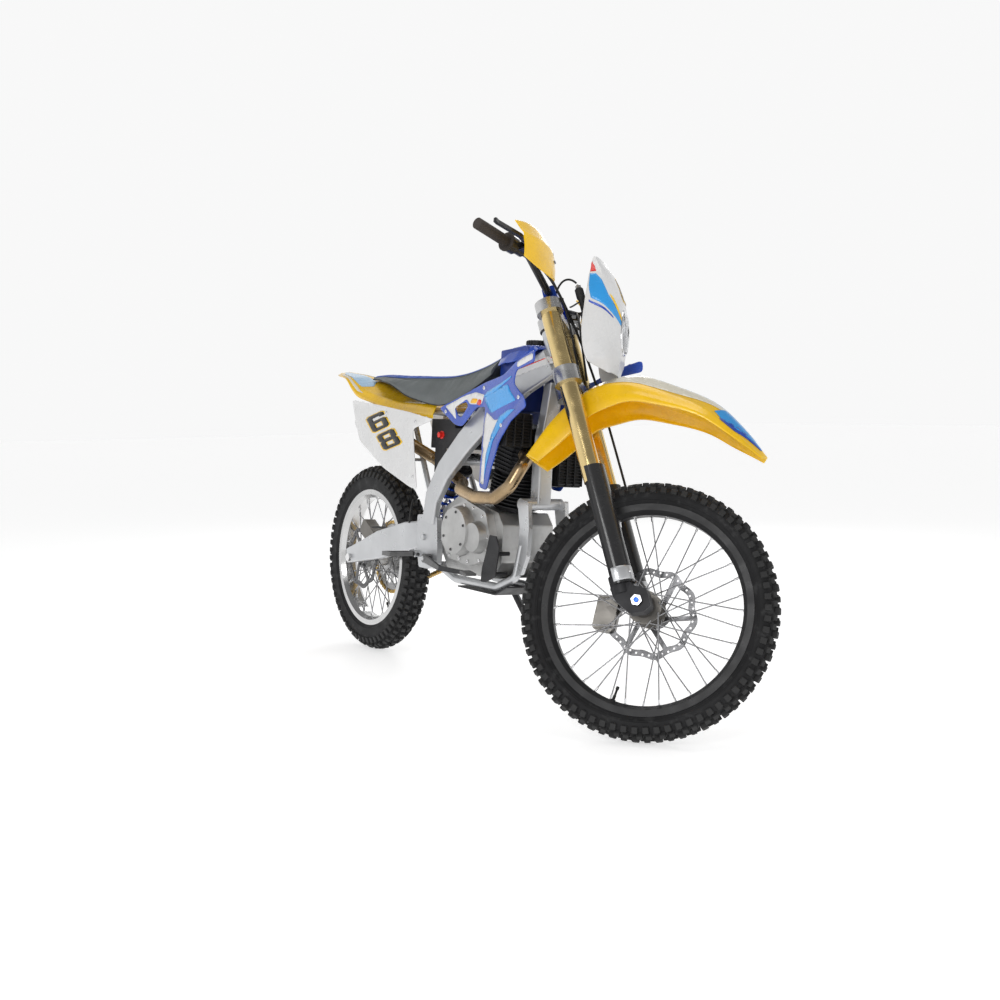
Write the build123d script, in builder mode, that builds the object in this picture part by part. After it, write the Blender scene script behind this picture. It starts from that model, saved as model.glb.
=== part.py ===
"""Off-road motorcycle parked on its side stand with the steering on its left lock.

Everything is designed with the machine upright and the steering straight, in millimetres:
X forward from the rear axle, Y to the rider's left, Z up from the ground.
Front-end pieces are drawn in the HEAD frame (forward, left, along the steering axis), then turned
to the lock. Each piece is finally leaned over on to the stand and written as a STEP file.
"""
from build123d import *
from math import asin, cos, degrees, hypot, pi, radians, sin
import os

os.makedirs("parts", exist_ok=True)

# ---- driving dimensions -------------------------------------------------------------------------
WHEELBASE = 1455.0
RAKE = 27.5
TRAIL = 112.0
STEER_LOCK = 39.5
LEAN = 4.0  # towards the stand
PITCH = 0.3444  # nose down, because the turned front wheel drops
LIFT = 0.1277  # brings both tyres down to the ground plane
CENTRE = (705.504, 74.689)  # middle of the parked machine's box, in X and Y

FRONT_RADIUS, FRONT_HALF = 348.0, 43.0
REAR_RADIUS, REAR_HALF = 330.0, 50.0
FRONT_FLANGE, FRONT_RIM_HALF = 284.0, 26.0
REAR_FLANGE, REAR_RIM_HALF = 243.0, 34.0
SPOKES = 36
AXLE = 12.0
RUNNING = 0.05  # radial clearance of a running fit

FORK_HALF = 100.0  # fork legs left and right of the middle
FORK_OFFSET = 28.0  # fork legs ahead of the steering axis
OUTER_TUBE, INNER_TUBE = 27.0, 24.0
OUTER_LOW, FORK_TOP = 712.0, 1266.0
LOWER_CLAMP, LOWER_CLAMP_HIGH = 1007.0, 1052.0
UPPER_CLAMP = 1232.0

PIVOT = (525.0, 0.0, 450.0)
SPAR_HALF = 13.0

HEAD = Plane(
    origin=(WHEELBASE + TRAIL, 0, 0),
    x_dir=(cos(radians(RAKE)), 0, sin(radians(RAKE))),
    z_dir=(-sin(radians(RAKE)), 0, cos(radians(RAKE))),
)
STEERING = Axis(tuple(HEAD.origin), tuple(HEAD.z_dir))
PARKED = Location((-CENTRE[0], -CENTRE[1], LIFT), (-LEAN, 0, 0)) * Location(
    (0, 0, 0), (0, PITCH, 0)
)
SIDEWAYS = (0, 1, 0)
FRONT_AXLE = (WHEELBASE, 0.0, FRONT_RADIUS)
REAR_AXLE = (0.0, 0.0, REAR_RADIUS)
# the front axle in the HEAD frame: forward of the axis, and along it
AXLE_FORWARD = FRONT_RADIUS * sin(radians(RAKE)) - TRAIL * cos(radians(RAKE))
AXLE_ALONG = TRAIL * sin(radians(RAKE)) + FRONT_RADIUS * cos(radians(RAKE))


def store(builder, label, turned=False):
    """Writes a finished sub-part in its parked place."""
    placed = builder.part.rotate(STEERING, STEER_LOCK) if turned else builder.part
    placed = PARKED * placed
    placed.label = label
    export_step(placed, f"parts/{label}.step")


# ---- helpers that add to the sub-part that calls them --------------------------------------------
def side_plane(y):
    """The XZ plane at a distance to the left."""
    return Plane.XZ.offset(-y)


def plate(outline, low, high, corner=0.0, mode=Mode.ADD):
    """An outline of (x, z) points, extruded between two distances to the left."""
    with BuildSketch(side_plane(high)) as profile:
        with BuildLine():
            Polyline(*outline, close=True)
        make_face()
        if corner:
            fillet(profile.vertices(), corner)
    extrude(profile.sketch, amount=high - low, mode=mode)


def rod(start, end, radius, mode=Mode.ADD):
    """A round bar between two points."""
    span = Vector(*end) - Vector(*start)
    with BuildSketch(Plane(origin=start, z_dir=span)) as section:
        Circle(radius)
    extrude(section.sketch, amount=span.length, mode=mode)


def frustum(start, end, first, last):
    """A cone cut square at both ends."""
    way = Vector(*end) - Vector(*start)
    mouths = []
    for centre, radius in ((start, first), (end, last)):
        with BuildSketch(Plane(origin=centre, z_dir=way)) as mouth:
            Circle(radius)
        mouths.append(mouth.sketch)
    loft(mouths)


def pipe(points, radius, bend, plane=Plane.XY, mode=Mode.ADD):
    """A round bar along straight runs joined by arcs."""
    with BuildLine(plane) as route:
        FilletPolyline(*points, radius=bend)
    with BuildSketch(Plane(origin=route.line @ 0, z_dir=route.line % 0)) as section:
        Circle(radius)
    sweep(section.sketch, path=route.line, mode=mode)


def beam(stations, corner):
    """A box beam through stations of (x, y, z, half width, half depth, rise in degrees)."""
    sections = []
    for x, y, z, wide, deep, rise in stations:
        facing = (cos(radians(rise)), 0, sin(radians(rise)))
        with BuildSketch(Plane(origin=(x, y, z), x_dir=SIDEWAYS, z_dir=facing)) as section:
            RectangleRounded(2 * wide, 2 * deep, corner)
        sections.append(section.sketch)
    loft(sections, ruled=True)


def skin(sections):
    """A ruled shell through (plane, outline) pairs with the same number of corners."""
    faces = []
    for plane, outline in sections:
        with BuildSketch(plane) as section:
            with BuildLine():
                Polyline(*outline, close=True)
            make_face()
        faces.append(section.sketch)
    loft(faces, ruled=True)


def across(x):
    """The plane square to the machine at x: its axes are left and up."""
    return Plane(origin=(x, 0, 0), x_dir=SIDEWAYS, z_dir=(1, 0, 0))


def arch(half, drop, shoulder, wall):
    """A fender's section: a peaked crown down to a crease on each side, and two hanging sides."""
    outer = [(-half, -drop), (-0.84 * half, -shoulder), (-0.25 * half, -0.15 * shoulder)]
    outer += [(-y, z) for y, z in reversed(outer)]
    inner = [
        (half - wall, -drop),
        (0.84 * half - wall, -shoulder - wall / 2),
        (0.22 * half, -0.15 * shoulder - wall),
    ]
    inner += [(-y, z) for y, z in reversed(inner)]
    return outer + inner


def along_fender(stations, wall, base=Plane.XY):
    """Sections of an arch along (forward, up, heading, half width, drop, shoulder) stations."""
    made = []
    for forward, up, heading, half, drop, shoulder in stations:
        local = Plane(
            origin=(forward, 0, up),
            x_dir=SIDEWAYS,
            z_dir=(cos(radians(heading)), 0, sin(radians(heading))),
        )
        placed = base * local.location if base is not Plane.XY else local.location
        made.append((Plane(placed), arch(half, drop, shoulder, wall)))
    return made


def wheel_section(centre):
    """The plane through a wheel's axle whose axes are left and up."""
    return Plane(origin=centre, x_dir=SIDEWAYS, z_dir=(1, 0, 0))


def round_about(centre, outline, arc=None):
    """Revolves an outline of (left, radius) points about a wheel's axle."""
    with BuildSketch(wheel_section(centre)) as profile:
        with BuildLine():
            Polyline(*outline, close=arc is None)
            if arc:
                ThreePointArc(outline[-1], arc, outline[0])
        make_face()
    revolve(profile.sketch, axis=Axis(centre, SIDEWAYS))


def tyre(centre, radius, half, flange, rim_half):
    """A hollow carcass whose beads sit between the rim's flanges."""
    bead = rim_half - 4.5
    with BuildPart() as made:
        round_about(
            centre,
            [
                (half, radius - half),
                (half - 1, radius - half - 8),
                (rim_half + 2, flange + 2.5),
                (bead, flange + 1),
                (bead, flange - 12.5),
                (bead - 8, flange - 12.5),
                (bead - 8, flange + 4),
                (half - 11, radius - half),
                (0.6 * half, radius - 18),
                (-0.6 * half, radius - 18),
                (11 - half, radius - half),
                (8 - bead, flange + 4),
                (8 - bead, flange - 12.5),
                (-bead, flange - 12.5),
                (-bead, flange + 1),
                (-rim_half - 2, flange + 2.5),
                (1 - half, radius - half - 8),
                (-half, radius - half),
            ],
            arc=(0, radius),
        )
    return made


def rim(centre, flange, half):
    """A drop-centre rim with upturned flanges."""
    outer = [(half, flange), (half, flange - 18), (half - 14, flange - 29)]
    inner = [(half - 14, flange - 24), (half - 4, flange - 13.2), (half - 4, flange)]
    with BuildPart() as made:
        round_about(
            centre,
            outer
            + [(-y, r) for y, r in reversed(outer)]
            + [(-y, r) for y, r in reversed(inner)]
            + inner,
        )
    return made


def spokes(centre, hub_radius, rim_radius, flanges, thickness):
    """Three-cross lacing: half the spokes on each flange lead and half trail."""
    per_side = SPOKES // 2
    lacing = 60.0
    with BuildPart() as made:
        for side, flange in zip((1, -1), flanges):
            for k in range(per_side):
                start = 360.0 / per_side * k + (0 if side > 0 else 180.0 / per_side)
                lead = 1 if k % 2 == 0 else -1
                end = start + lead * lacing
                hub_y = flange + lead * 3.7
                inner = Vector(
                    centre[0] + hub_radius * cos(radians(start)),
                    hub_y,
                    centre[2] + hub_radius * sin(radians(start)),
                )
                outer = Vector(
                    centre[0] + rim_radius * cos(radians(end)),
                    side * 6.0,
                    centre[2] + rim_radius * sin(radians(end)),
                )
                rod(tuple(inner), tuple(outer), thickness / 2)
    return made


def wave_ring(outer, inner, waves, height):
    """A closed wavy band, as two splines."""
    steps = waves * 6
    for radius, mode in ((outer, Mode.ADD), (inner, Mode.SUBTRACT)):
        points = []
        for k in range(steps):
            turn = 2 * pi * k / steps
            r = radius + height * cos(waves * turn)
            points.append((r * cos(turn), r * sin(turn)))
        with BuildLine() as edge:
            Spline(*points, periodic=True)
        make_face(edge.line, mode=mode)


def brake_disc(centre, low, high, outer, band, waves, hub, arms):
    """A wave disc between two distances to the left: band, skewed arms and bolted centre."""
    thick = high - low
    face = Plane(origin=(centre[0], high, centre[2]), x_dir=(1, 0, 0), z_dir=(0, -1, 0))
    with BuildPart() as made:
        with BuildSketch(face) as profile:
            wave_ring(outer - 4, outer - band, waves, 4.0)
            Circle(hub + 9)
            with PolarLocations((hub + outer) / 2 - 4, arms):
                Rectangle(outer - hub - band / 2, 13, rotation=14)
            with PolarLocations((2 * outer - band) / 2 - 2, 40):
                Circle(3.2, mode=Mode.SUBTRACT)
            Circle(hub - 8, mode=Mode.SUBTRACT)
            with PolarLocations(hub + 1, 6):
                Circle(3.1, mode=Mode.SUBTRACT)
        extrude(profile.sketch, amount=thick)
    return made


# ---- front wheel ---------------------------------------------------------------------------------
FRONT_HUB_RADIUS, REAR_HUB_RADIUS = 40.0, 46.0
front_tyre = tyre(FRONT_AXLE, FRONT_RADIUS, FRONT_HALF, FRONT_FLANGE, FRONT_RIM_HALF)
front_rim = rim(FRONT_AXLE, FRONT_FLANGE, FRONT_RIM_HALF)
front_spokes = spokes(
    FRONT_AXLE, FRONT_HUB_RADIUS, FRONT_FLANGE - 27, (33.5, -33.5), 3.6
)
with BuildPart() as front_hub:
    round_about(
        FRONT_AXLE,
        [
            (-38, AXLE + RUNNING),
            (-38, 30),
            (-36, 45),
            (-31, 45),
            (-28, 26),
            (0, 21),
            (28, 26),
            (31, 45),
            (36, 45),
            (38, 36),
            (57.9, 36),
            (57.9, AXLE + RUNNING),
        ],
    )
front_disc = brake_disc(FRONT_AXLE, 58, 61.5, 126, 22, 10, 29, 6)

# ---- rear wheel ----------------------------------------------------------------------------------
rear_tyre = tyre(REAR_AXLE, REAR_RADIUS, REAR_HALF, REAR_FLANGE, REAR_RIM_HALF)
rear_rim = rim(REAR_AXLE, REAR_FLANGE, REAR_RIM_HALF)
rear_spokes = spokes(REAR_AXLE, REAR_HUB_RADIUS, REAR_FLANGE - 27, (37.5, -37.5), 4.0)
with BuildPart() as rear_hub:
    round_about(
        REAR_AXLE,
        [
            (-57.9, AXLE + RUNNING),
            (-57.9, 36),
            (-42, 38),
            (-40, 51),
            (-35, 51),
            (-32, 32),
            (0, 28),
            (32, 32),
            (35, 51),
            (40, 51),
            (42, 42),
            (61.9, 42),
            (61.9, AXLE + RUNNING),
        ],
    )
rear_disc = brake_disc(REAR_AXLE, -61.5, -58, 112, 20, 9, 29, 6)

SPROCKET_TEETH, PINION_TEETH, CHAIN_PITCH, CHAIN_Y = 50, 14, 15.875, 65.0


def sprocket_sketch(teeth):
    """A toothed disc: pitch circle less one roller seat for each tooth."""
    pitch_radius = CHAIN_PITCH / (2 * sin(pi / teeth))
    Circle(pitch_radius + 4.5)
    with PolarLocations(pitch_radius, teeth):
        Circle(5.1, mode=Mode.SUBTRACT)


with BuildPart() as rear_sprocket:
    with BuildSketch(
        Plane(origin=(0, CHAIN_Y + 3, REAR_RADIUS), x_dir=(1, 0, 0), z_dir=(0, -1, 0))
    ) as profile:
        sprocket_sketch(SPROCKET_TEETH)
        Circle(30, mode=Mode.SUBTRACT)
        with PolarLocations(85, 10):
            SlotOverall(46, 24, rotation=90, mode=Mode.SUBTRACT)
        with PolarLocations(38, 6):
            Circle(4.1, mode=Mode.SUBTRACT)
    extrude(profile.sketch, amount=6)

# ---- drive ---------------------------------------------------------------------------------------
PINION = (606.0, CHAIN_Y, 452.0)
with BuildPart() as front_sprocket:
    with BuildSketch(
        Plane(origin=(PINION[0], CHAIN_Y + 3, PINION[2]), x_dir=(1, 0, 0), z_dir=(0, -1, 0))
    ) as profile:
        sprocket_sketch(PINION_TEETH)
    extrude(profile.sketch, amount=6)
    rod((PINION[0], 50.5, PINION[2]), (PINION[0], 74, PINION[2]), 11)


def chain_loop(offset):
    """The belt line round both sprockets at a distance outside their pitch circles."""
    big = CHAIN_PITCH / (2 * sin(pi / SPROCKET_TEETH)) + offset
    small = CHAIN_PITCH / (2 * sin(pi / PINION_TEETH)) + offset
    rise = PINION[2] - REAR_RADIUS
    span = hypot(PINION[0], rise)
    tilt = degrees(asin(rise / span))
    wrap = degrees(asin((big - small) / span))
    up, down = radians(90 + tilt - wrap), radians(-90 + tilt + wrap)
    rear_top = (big * cos(up), REAR_RADIUS + big * sin(up))
    rear_low = (big * cos(down), REAR_RADIUS + big * sin(down))
    front_top = (PINION[0] + small * cos(up), PINION[2] + small * sin(up))
    front_low = (PINION[0] + small * cos(down), PINION[2] + small * sin(down))
    back = radians(180 + tilt)
    ahead = radians(tilt)
    Line(rear_top, front_top)
    ThreePointArc(
        front_top,
        (PINION[0] + small * cos(ahead), PINION[2] + small * sin(ahead)),
        front_low,
    )
    Line(front_low, rear_low)
    ThreePointArc(
        rear_low, (big * cos(back), REAR_RADIUS + big * sin(back)), rear_top
    )


with BuildPart() as drive_chain:
    with BuildSketch(side_plane(CHAIN_Y + 8)) as profile:
        with BuildLine():
            chain_loop(12.0)
        make_face()
        with BuildLine() as hole:
            chain_loop(4.6)
        make_face(hole.line, mode=Mode.SUBTRACT)
    extrude(profile.sketch, amount=16)

# ---- fork and steering head (drawn in the HEAD frame) --------------------------------------------
HEAD_SIDE = Plane(origin=HEAD.origin, x_dir=HEAD.x_dir, z_dir=(0, -1, 0))


def head_point(forward, left, along):
    """A point of the HEAD frame in the machine's frame."""
    return tuple(HEAD.from_local_coords(Vector(forward, left, along)))


def head_disc(forward, left, low, high, radius, mode=Mode.ADD):
    """A cylinder along the steering axis."""
    rod(head_point(forward, left, low), head_point(forward, left, high), radius, mode)


def head_plate(outline, low, high, mode=Mode.ADD, corner=0.0):
    """An outline of (forward, along) points, extruded between two distances to the left."""
    plane = Plane(origin=head_point(0, high, 0), x_dir=HEAD.x_dir, z_dir=(0, -1, 0))
    with BuildSketch(plane) as profile:
        with BuildLine():
            Polyline(*outline, close=True)
        make_face()
        if corner:
            fillet(profile.vertices(), corner)
    extrude(profile.sketch, amount=high - low, mode=mode)


with BuildPart() as fork_tubes:
    for side in (1, -1):
        y = side * FORK_HALF
        head_disc(FORK_OFFSET, y, OUTER_LOW, FORK_TOP - 3, OUTER_TUBE)
        head_disc(FORK_OFFSET, y, FORK_TOP - 3, FORK_TOP + 6, OUTER_TUBE - 5)
    for side in (1, -1):
        y = side * FORK_HALF
        head_disc(
            FORK_OFFSET, y, OUTER_LOW, FORK_TOP - 14, INNER_TUBE + RUNNING, Mode.SUBTRACT
        )

with BuildPart() as fork_sliders:
    for side in (1, -1):
        y = side * FORK_HALF
        head_disc(FORK_OFFSET, y, 395, 985, INNER_TUBE)
        head_disc(FORK_OFFSET, y, 392, 442, 29)
        head_plate(
            [(0, 414), (57, 414), (62, 402), (92, 385), (92, 338), (70, 328), (34, 334), (8, 372)],
            y - 24,
            y + 24,
            corner=7,
        )
    rod(
        (WHEELBASE, -FORK_HALF - 30, FRONT_RADIUS),
        (WHEELBASE, FORK_HALF + 30, FRONT_RADIUS),
        AXLE + RUNNING,
        Mode.SUBTRACT,
    )

with BuildPart() as front_axle:
    rod((WHEELBASE, -132, FRONT_RADIUS), (WHEELBASE, 126, FRONT_RADIUS), AXLE)
    rod((WHEELBASE, -75.5, FRONT_RADIUS), (WHEELBASE, -39, FRONT_RADIUS), 18)
    rod((WHEELBASE, 58.4, FRONT_RADIUS), (WHEELBASE, 75.5, FRONT_RADIUS), 18)
    for low in (-134, 124.5):
        with BuildSketch(
            Plane(origin=(WHEELBASE, low, FRONT_RADIUS), x_dir=(1, 0, 0), z_dir=(0, 1, 0))
        ) as nut:
            RegularPolygon(15, 6)
        extrude(nut.sketch, amount=9.5)

with BuildPart() as fork_guards:
    for side in (1, -1):
        guard_plane = Plane(
            origin=head_point(FORK_OFFSET, side * FORK_HALF, 420), x_dir=HEAD.x_dir, z_dir=HEAD.z_dir
        )
        with BuildSketch(guard_plane) as profile:
            Circle(37)
            Circle(33.5, mode=Mode.SUBTRACT)
            with Locations((-31, 0)):
                Rectangle(40, 90, mode=Mode.SUBTRACT)
        extrude(profile.sketch, amount=330)
        with BuildSketch(guard_plane) as band:
            Circle(37)
            Circle(29.05, mode=Mode.SUBTRACT)
            with Locations((-31, 0)):
                Rectangle(40, 90, mode=Mode.SUBTRACT)
        extrude(band.sketch, amount=-4)

CALIPER = (1335.0, 322.0)
with BuildPart() as front_caliper:
    with BuildSketch(
        Plane(origin=(CALIPER[0], 40, CALIPER[1]), x_dir=(1, 0, 0), z_dir=(0, 1, 0))
    ) as body:
        RectangleRounded(58, 96, 12)
    extrude(body.sketch, amount=46)
    plate([(1330, 300), (1372, 330), (1375, 372), (1330, 360)], 64.5, 75.5)
    with BuildSketch(side_plane(63.8)) as slot:
        with Locations((FRONT_AXLE[0], FRONT_AXLE[2])):
            Circle(133)
            Circle(80, mode=Mode.SUBTRACT)
    extrude(slot.sketch, amount=8.2, mode=Mode.SUBTRACT)

with BuildPart() as triple_clamps:
    for low, high in ((LOWER_CLAMP, LOWER_CLAMP_HIGH), (UPPER_CLAMP, FORK_TOP)):
        with BuildSketch(HEAD.offset(low)) as profile:
            with Locations((FORK_OFFSET, FORK_HALF), (FORK_OFFSET, -FORK_HALF)):
                Circle(38)
            with Locations((FORK_OFFSET - 2, 0)):
                Rectangle(44, 2 * FORK_HALF)
            Circle(32)
            with Locations((FORK_OFFSET, FORK_HALF), (FORK_OFFSET, -FORK_HALF)):
                Circle(OUTER_TUBE + RUNNING, mode=Mode.SUBTRACT)
        extrude(profile.sketch, amount=high - low)
    head_disc(0, 0, LOWER_CLAMP + 1, FORK_TOP + 14, 13)
    with BuildSketch(HEAD.offset(FORK_TOP)) as nut:
        RegularPolygon(19, 6)
    extrude(nut.sketch, amount=12)

with BuildPart() as bar_risers:
    for side in (1, -1):
        head_plate(
            [(12, FORK_TOP + 0.2), (56, FORK_TOP + 0.2), (50, 1340), (14, 1340)],
            side * 42 - 15,
            side * 42 + 15,
            corner=5,
        )
    rod(head_point(31, -80, 1319), head_point(31, 80, 1319), 11.05, Mode.SUBTRACT)

BAR_CENTRE = [(31, -70, 1319), (31, 70, 1319)]
BAR_RIGHT = [(25, -190, 1379), (-50, -392, 1403)]
bar_route = [(f, -y, s) for f, y, s in reversed(BAR_RIGHT)] + [BAR_CENTRE[1], BAR_CENTRE[0]]
bar_route += BAR_RIGHT
with BuildPart() as handlebar:
    pipe([head_point(*p) for p in bar_route], 11, 40)


def along_bar(side, distance):
    """A point on a grip's line, measured inwards from the bar's end, and its outward direction."""
    end = Vector(*head_point(-50, side * 392, 1403))
    start = Vector(*head_point(25, side * 190, 1379))
    outward = (end - start).normalized()
    return end - outward * distance, outward


def on_bar(side, near, far, radius, mode=Mode.ADD):
    """A cylinder round the bar, between two distances from its end."""
    point, outward = along_bar(side, near)
    with BuildSketch(Plane(origin=point, z_dir=-outward)) as section:
        Circle(radius)
    extrude(section.sketch, amount=far - near, mode=mode)


with BuildPart() as throttle_grip:
    on_bar(-1, -3, 118, 16)
    on_bar(-1, 118, 123, 27)
    on_bar(-1, 123, 138, 15)
    on_bar(-1, -0.5, 140, 11 + RUNNING, Mode.SUBTRACT)

with BuildPart() as left_controls:
    on_bar(1, -3, 118, 16)
    on_bar(1, 118, 123, 27)
    on_bar(1, 154, 200, 17)
    on_bar(1, -0.5, 205, 11 + RUNNING, Mode.SUBTRACT)

with BuildPart() as right_controls:
    on_bar(-1, 124, 150, 24)
    on_bar(-1, 123.5, 138.4, 15.4, Mode.SUBTRACT)
    on_bar(-1, 154, 186, 17)
    on_bar(-1, 120, 190, 11 + RUNNING, Mode.SUBTRACT)


def lever_frame(side):
    """A plane at a lever's pivot: its X axis runs out along the grip and its Z axis is the pin."""
    point, outward = along_bar(side, 168)
    ahead = Vector(*HEAD.x_dir) * 0.94 - Vector(*HEAD.z_dir) * 0.34
    ahead = (ahead - outward * ahead.dot(outward)).normalized()
    pin = outward.cross(ahead) * (1 if side < 0 else -1)
    return Plane(origin=point + ahead * 46, x_dir=outward, z_dir=pin)


def perch(side):
    """The lug that carries a lever's pin, with a slot for the lever."""
    frame = lever_frame(side)
    ahead_sign = 1 if side < 0 else -1
    with BuildSketch(frame.offset(-11)) as lug:
        with Locations((0, -ahead_sign * 16)):
            RectangleRounded(26, 44, 5)
    extrude(lug.sketch, amount=22)
    with BuildSketch(frame.offset(-5.6)) as slot:
        with Locations((14, -ahead_sign * 4)):
            Rectangle(60, 34)
    extrude(slot.sketch, amount=11.2, mode=Mode.SUBTRACT)
    on_bar(side, 120, 206, 11 + RUNNING, Mode.SUBTRACT)


def lever(side):
    """A hand lever: an eye on the pin and a blade that curves along the grip."""
    frame = lever_frame(side)
    ahead_sign = 1 if side < 0 else -1
    with BuildPart() as made:
        with BuildSketch(frame.offset(-5)) as blade:
            with BuildLine():
                Polyline(
                    (-7, 6 * ahead_sign),
                    (-7, -7 * ahead_sign),
                    (20, -6 * ahead_sign),
                    (60, 6 * ahead_sign),
                    (150, 2 * ahead_sign),
                    (166, 6 * ahead_sign),
                    (168, 17 * ahead_sign),
                    (150, 13 * ahead_sign),
                    (60, 18 * ahead_sign),
                    (20, 7 * ahead_sign),
                    close=True,
                )
            make_face()
            fillet(blade.vertices(), 3)
        extrude(blade.sketch, amount=10)
        with BuildSketch(frame.offset(-10)) as pin:
            Circle(3)
        extrude(pin.sketch, amount=20)
    return made


with right_controls:
    perch(-1)
    with BuildSketch(lever_frame(-1).offset(-12)) as pin_hole:
        Circle(3 + RUNNING)
    extrude(pin_hole.sketch, amount=24, mode=Mode.SUBTRACT)
with left_controls:
    perch(1)
    with BuildSketch(lever_frame(1).offset(-12)) as pin_hole:
        Circle(3 + RUNNING)
    extrude(pin_hole.sketch, amount=24, mode=Mode.SUBTRACT)
brake_lever = lever(-1)
clutch_lever = lever(1)

GUARD_STATIONS = [
    # left, forward, low, high
    (160, 72, 1290, 1385),
    (205, 80, 1268, 1408),
    (250, 76, 1262, 1414),
    (300, 62, 1268, 1412),
    (345, 42, 1290, 1404),
]
with BuildPart() as hand_guards:
    for side in (1, -1):
        stations = []
        for left, back, low, high in GUARD_STATIONS:
            plane = Plane(
                origin=head_point(0, side * left, 0), x_dir=HEAD.x_dir, z_dir=(0, -side, 0)
            )
            stations.append(
                (plane, [(back, high), (back + 12, (low + high) / 2), (back, low),
                         (back - 3.5, low), (back + 8.5, (low + high) / 2), (back - 3.5, high)])
            )
        skin([(p, [(x, y * (1 if p.y_dir.dot(HEAD.z_dir) > 0 else -1)) for x, y in o]) for p, o in stations])

with BuildPart() as headlight_mask:
    sections = []
    for along, front, back, half in (
        (1022, 150, 128, 58),
        (1062, 172, 92, 88),
        (1150, 205, 100, 98),
        (1240, 220, 132, 97),
        (1310, 218, 160, 92),
        (1372, 202, 178, 76),
    ):
        outer = [(back, -half), (0.35 * back + 0.65 * front, -0.86 * half), (front, -0.4 * half)]
        outer += [(x, -y) for x, y in reversed(outer)]
        inner = [(back, half - 4), (0.35 * back + 0.65 * front - 4, 0.86 * half - 4), (front - 4, 0.4 * half)]
        inner += [(x, -y) for x, y in reversed(inner)]
        sections.append((HEAD.offset(along), outer + inner))
    skin(sections)

FENDER_FRONT = [
    # forward, along, heading, half width, drop, shoulder
    (-158, 884, 40, 50, 60, 20),
    (-110, 922, 36, 55, 78, 20),
    (-50, 966, 30, 58, 92, 22),
    (20, 1000, 16, 60, 92, 24),
    (110, 1020, -4, 72, 104, 34),
    (212, 1003, -22, 79, 100, 48),
    (309, 932, -40, 81, 84, 48),
    (391, 853, -50, 77, 68, 44),
    (442, 757, -62, 62, 46, 34),
    (476, 662, -72, 22, 14, 10),
]
with BuildPart() as front_fender:
    skin(along_fender(FENDER_FRONT, 3.0, HEAD))

# ---- frame ---------------------------------------------------------------------------------------
STAND_PIVOT = (652.0, 120.0, 340.0)
STAND_SLOPE = 26.93  # the stand's hinge rises outwards by this angle
STAND_FOOT = (728.0, 272.0)
SHOCK_LOW, SHOCK_HIGH = (360.0, 0.0, 455.0), (583.0, 0.0, 708.0)
PEG_HINGE = (490.0, 130.0, 394.0)
PEDAL_PIVOT = (577.0, 388.0)
STAND_HINGE = Plane(
    origin=STAND_PIVOT,
    x_dir=(1, 0, 0),
    z_dir=(0, cos(radians(STAND_SLOPE)), sin(radians(STAND_SLOPE))),
)


def mirrored_plate(outline, near, far, corner=0.0, mode=Mode.ADD):
    """The same plate on both sides, between two distances from the middle."""
    plate(outline, near, far, corner, mode)
    plate(outline, -far, -near, corner, mode)


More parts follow.
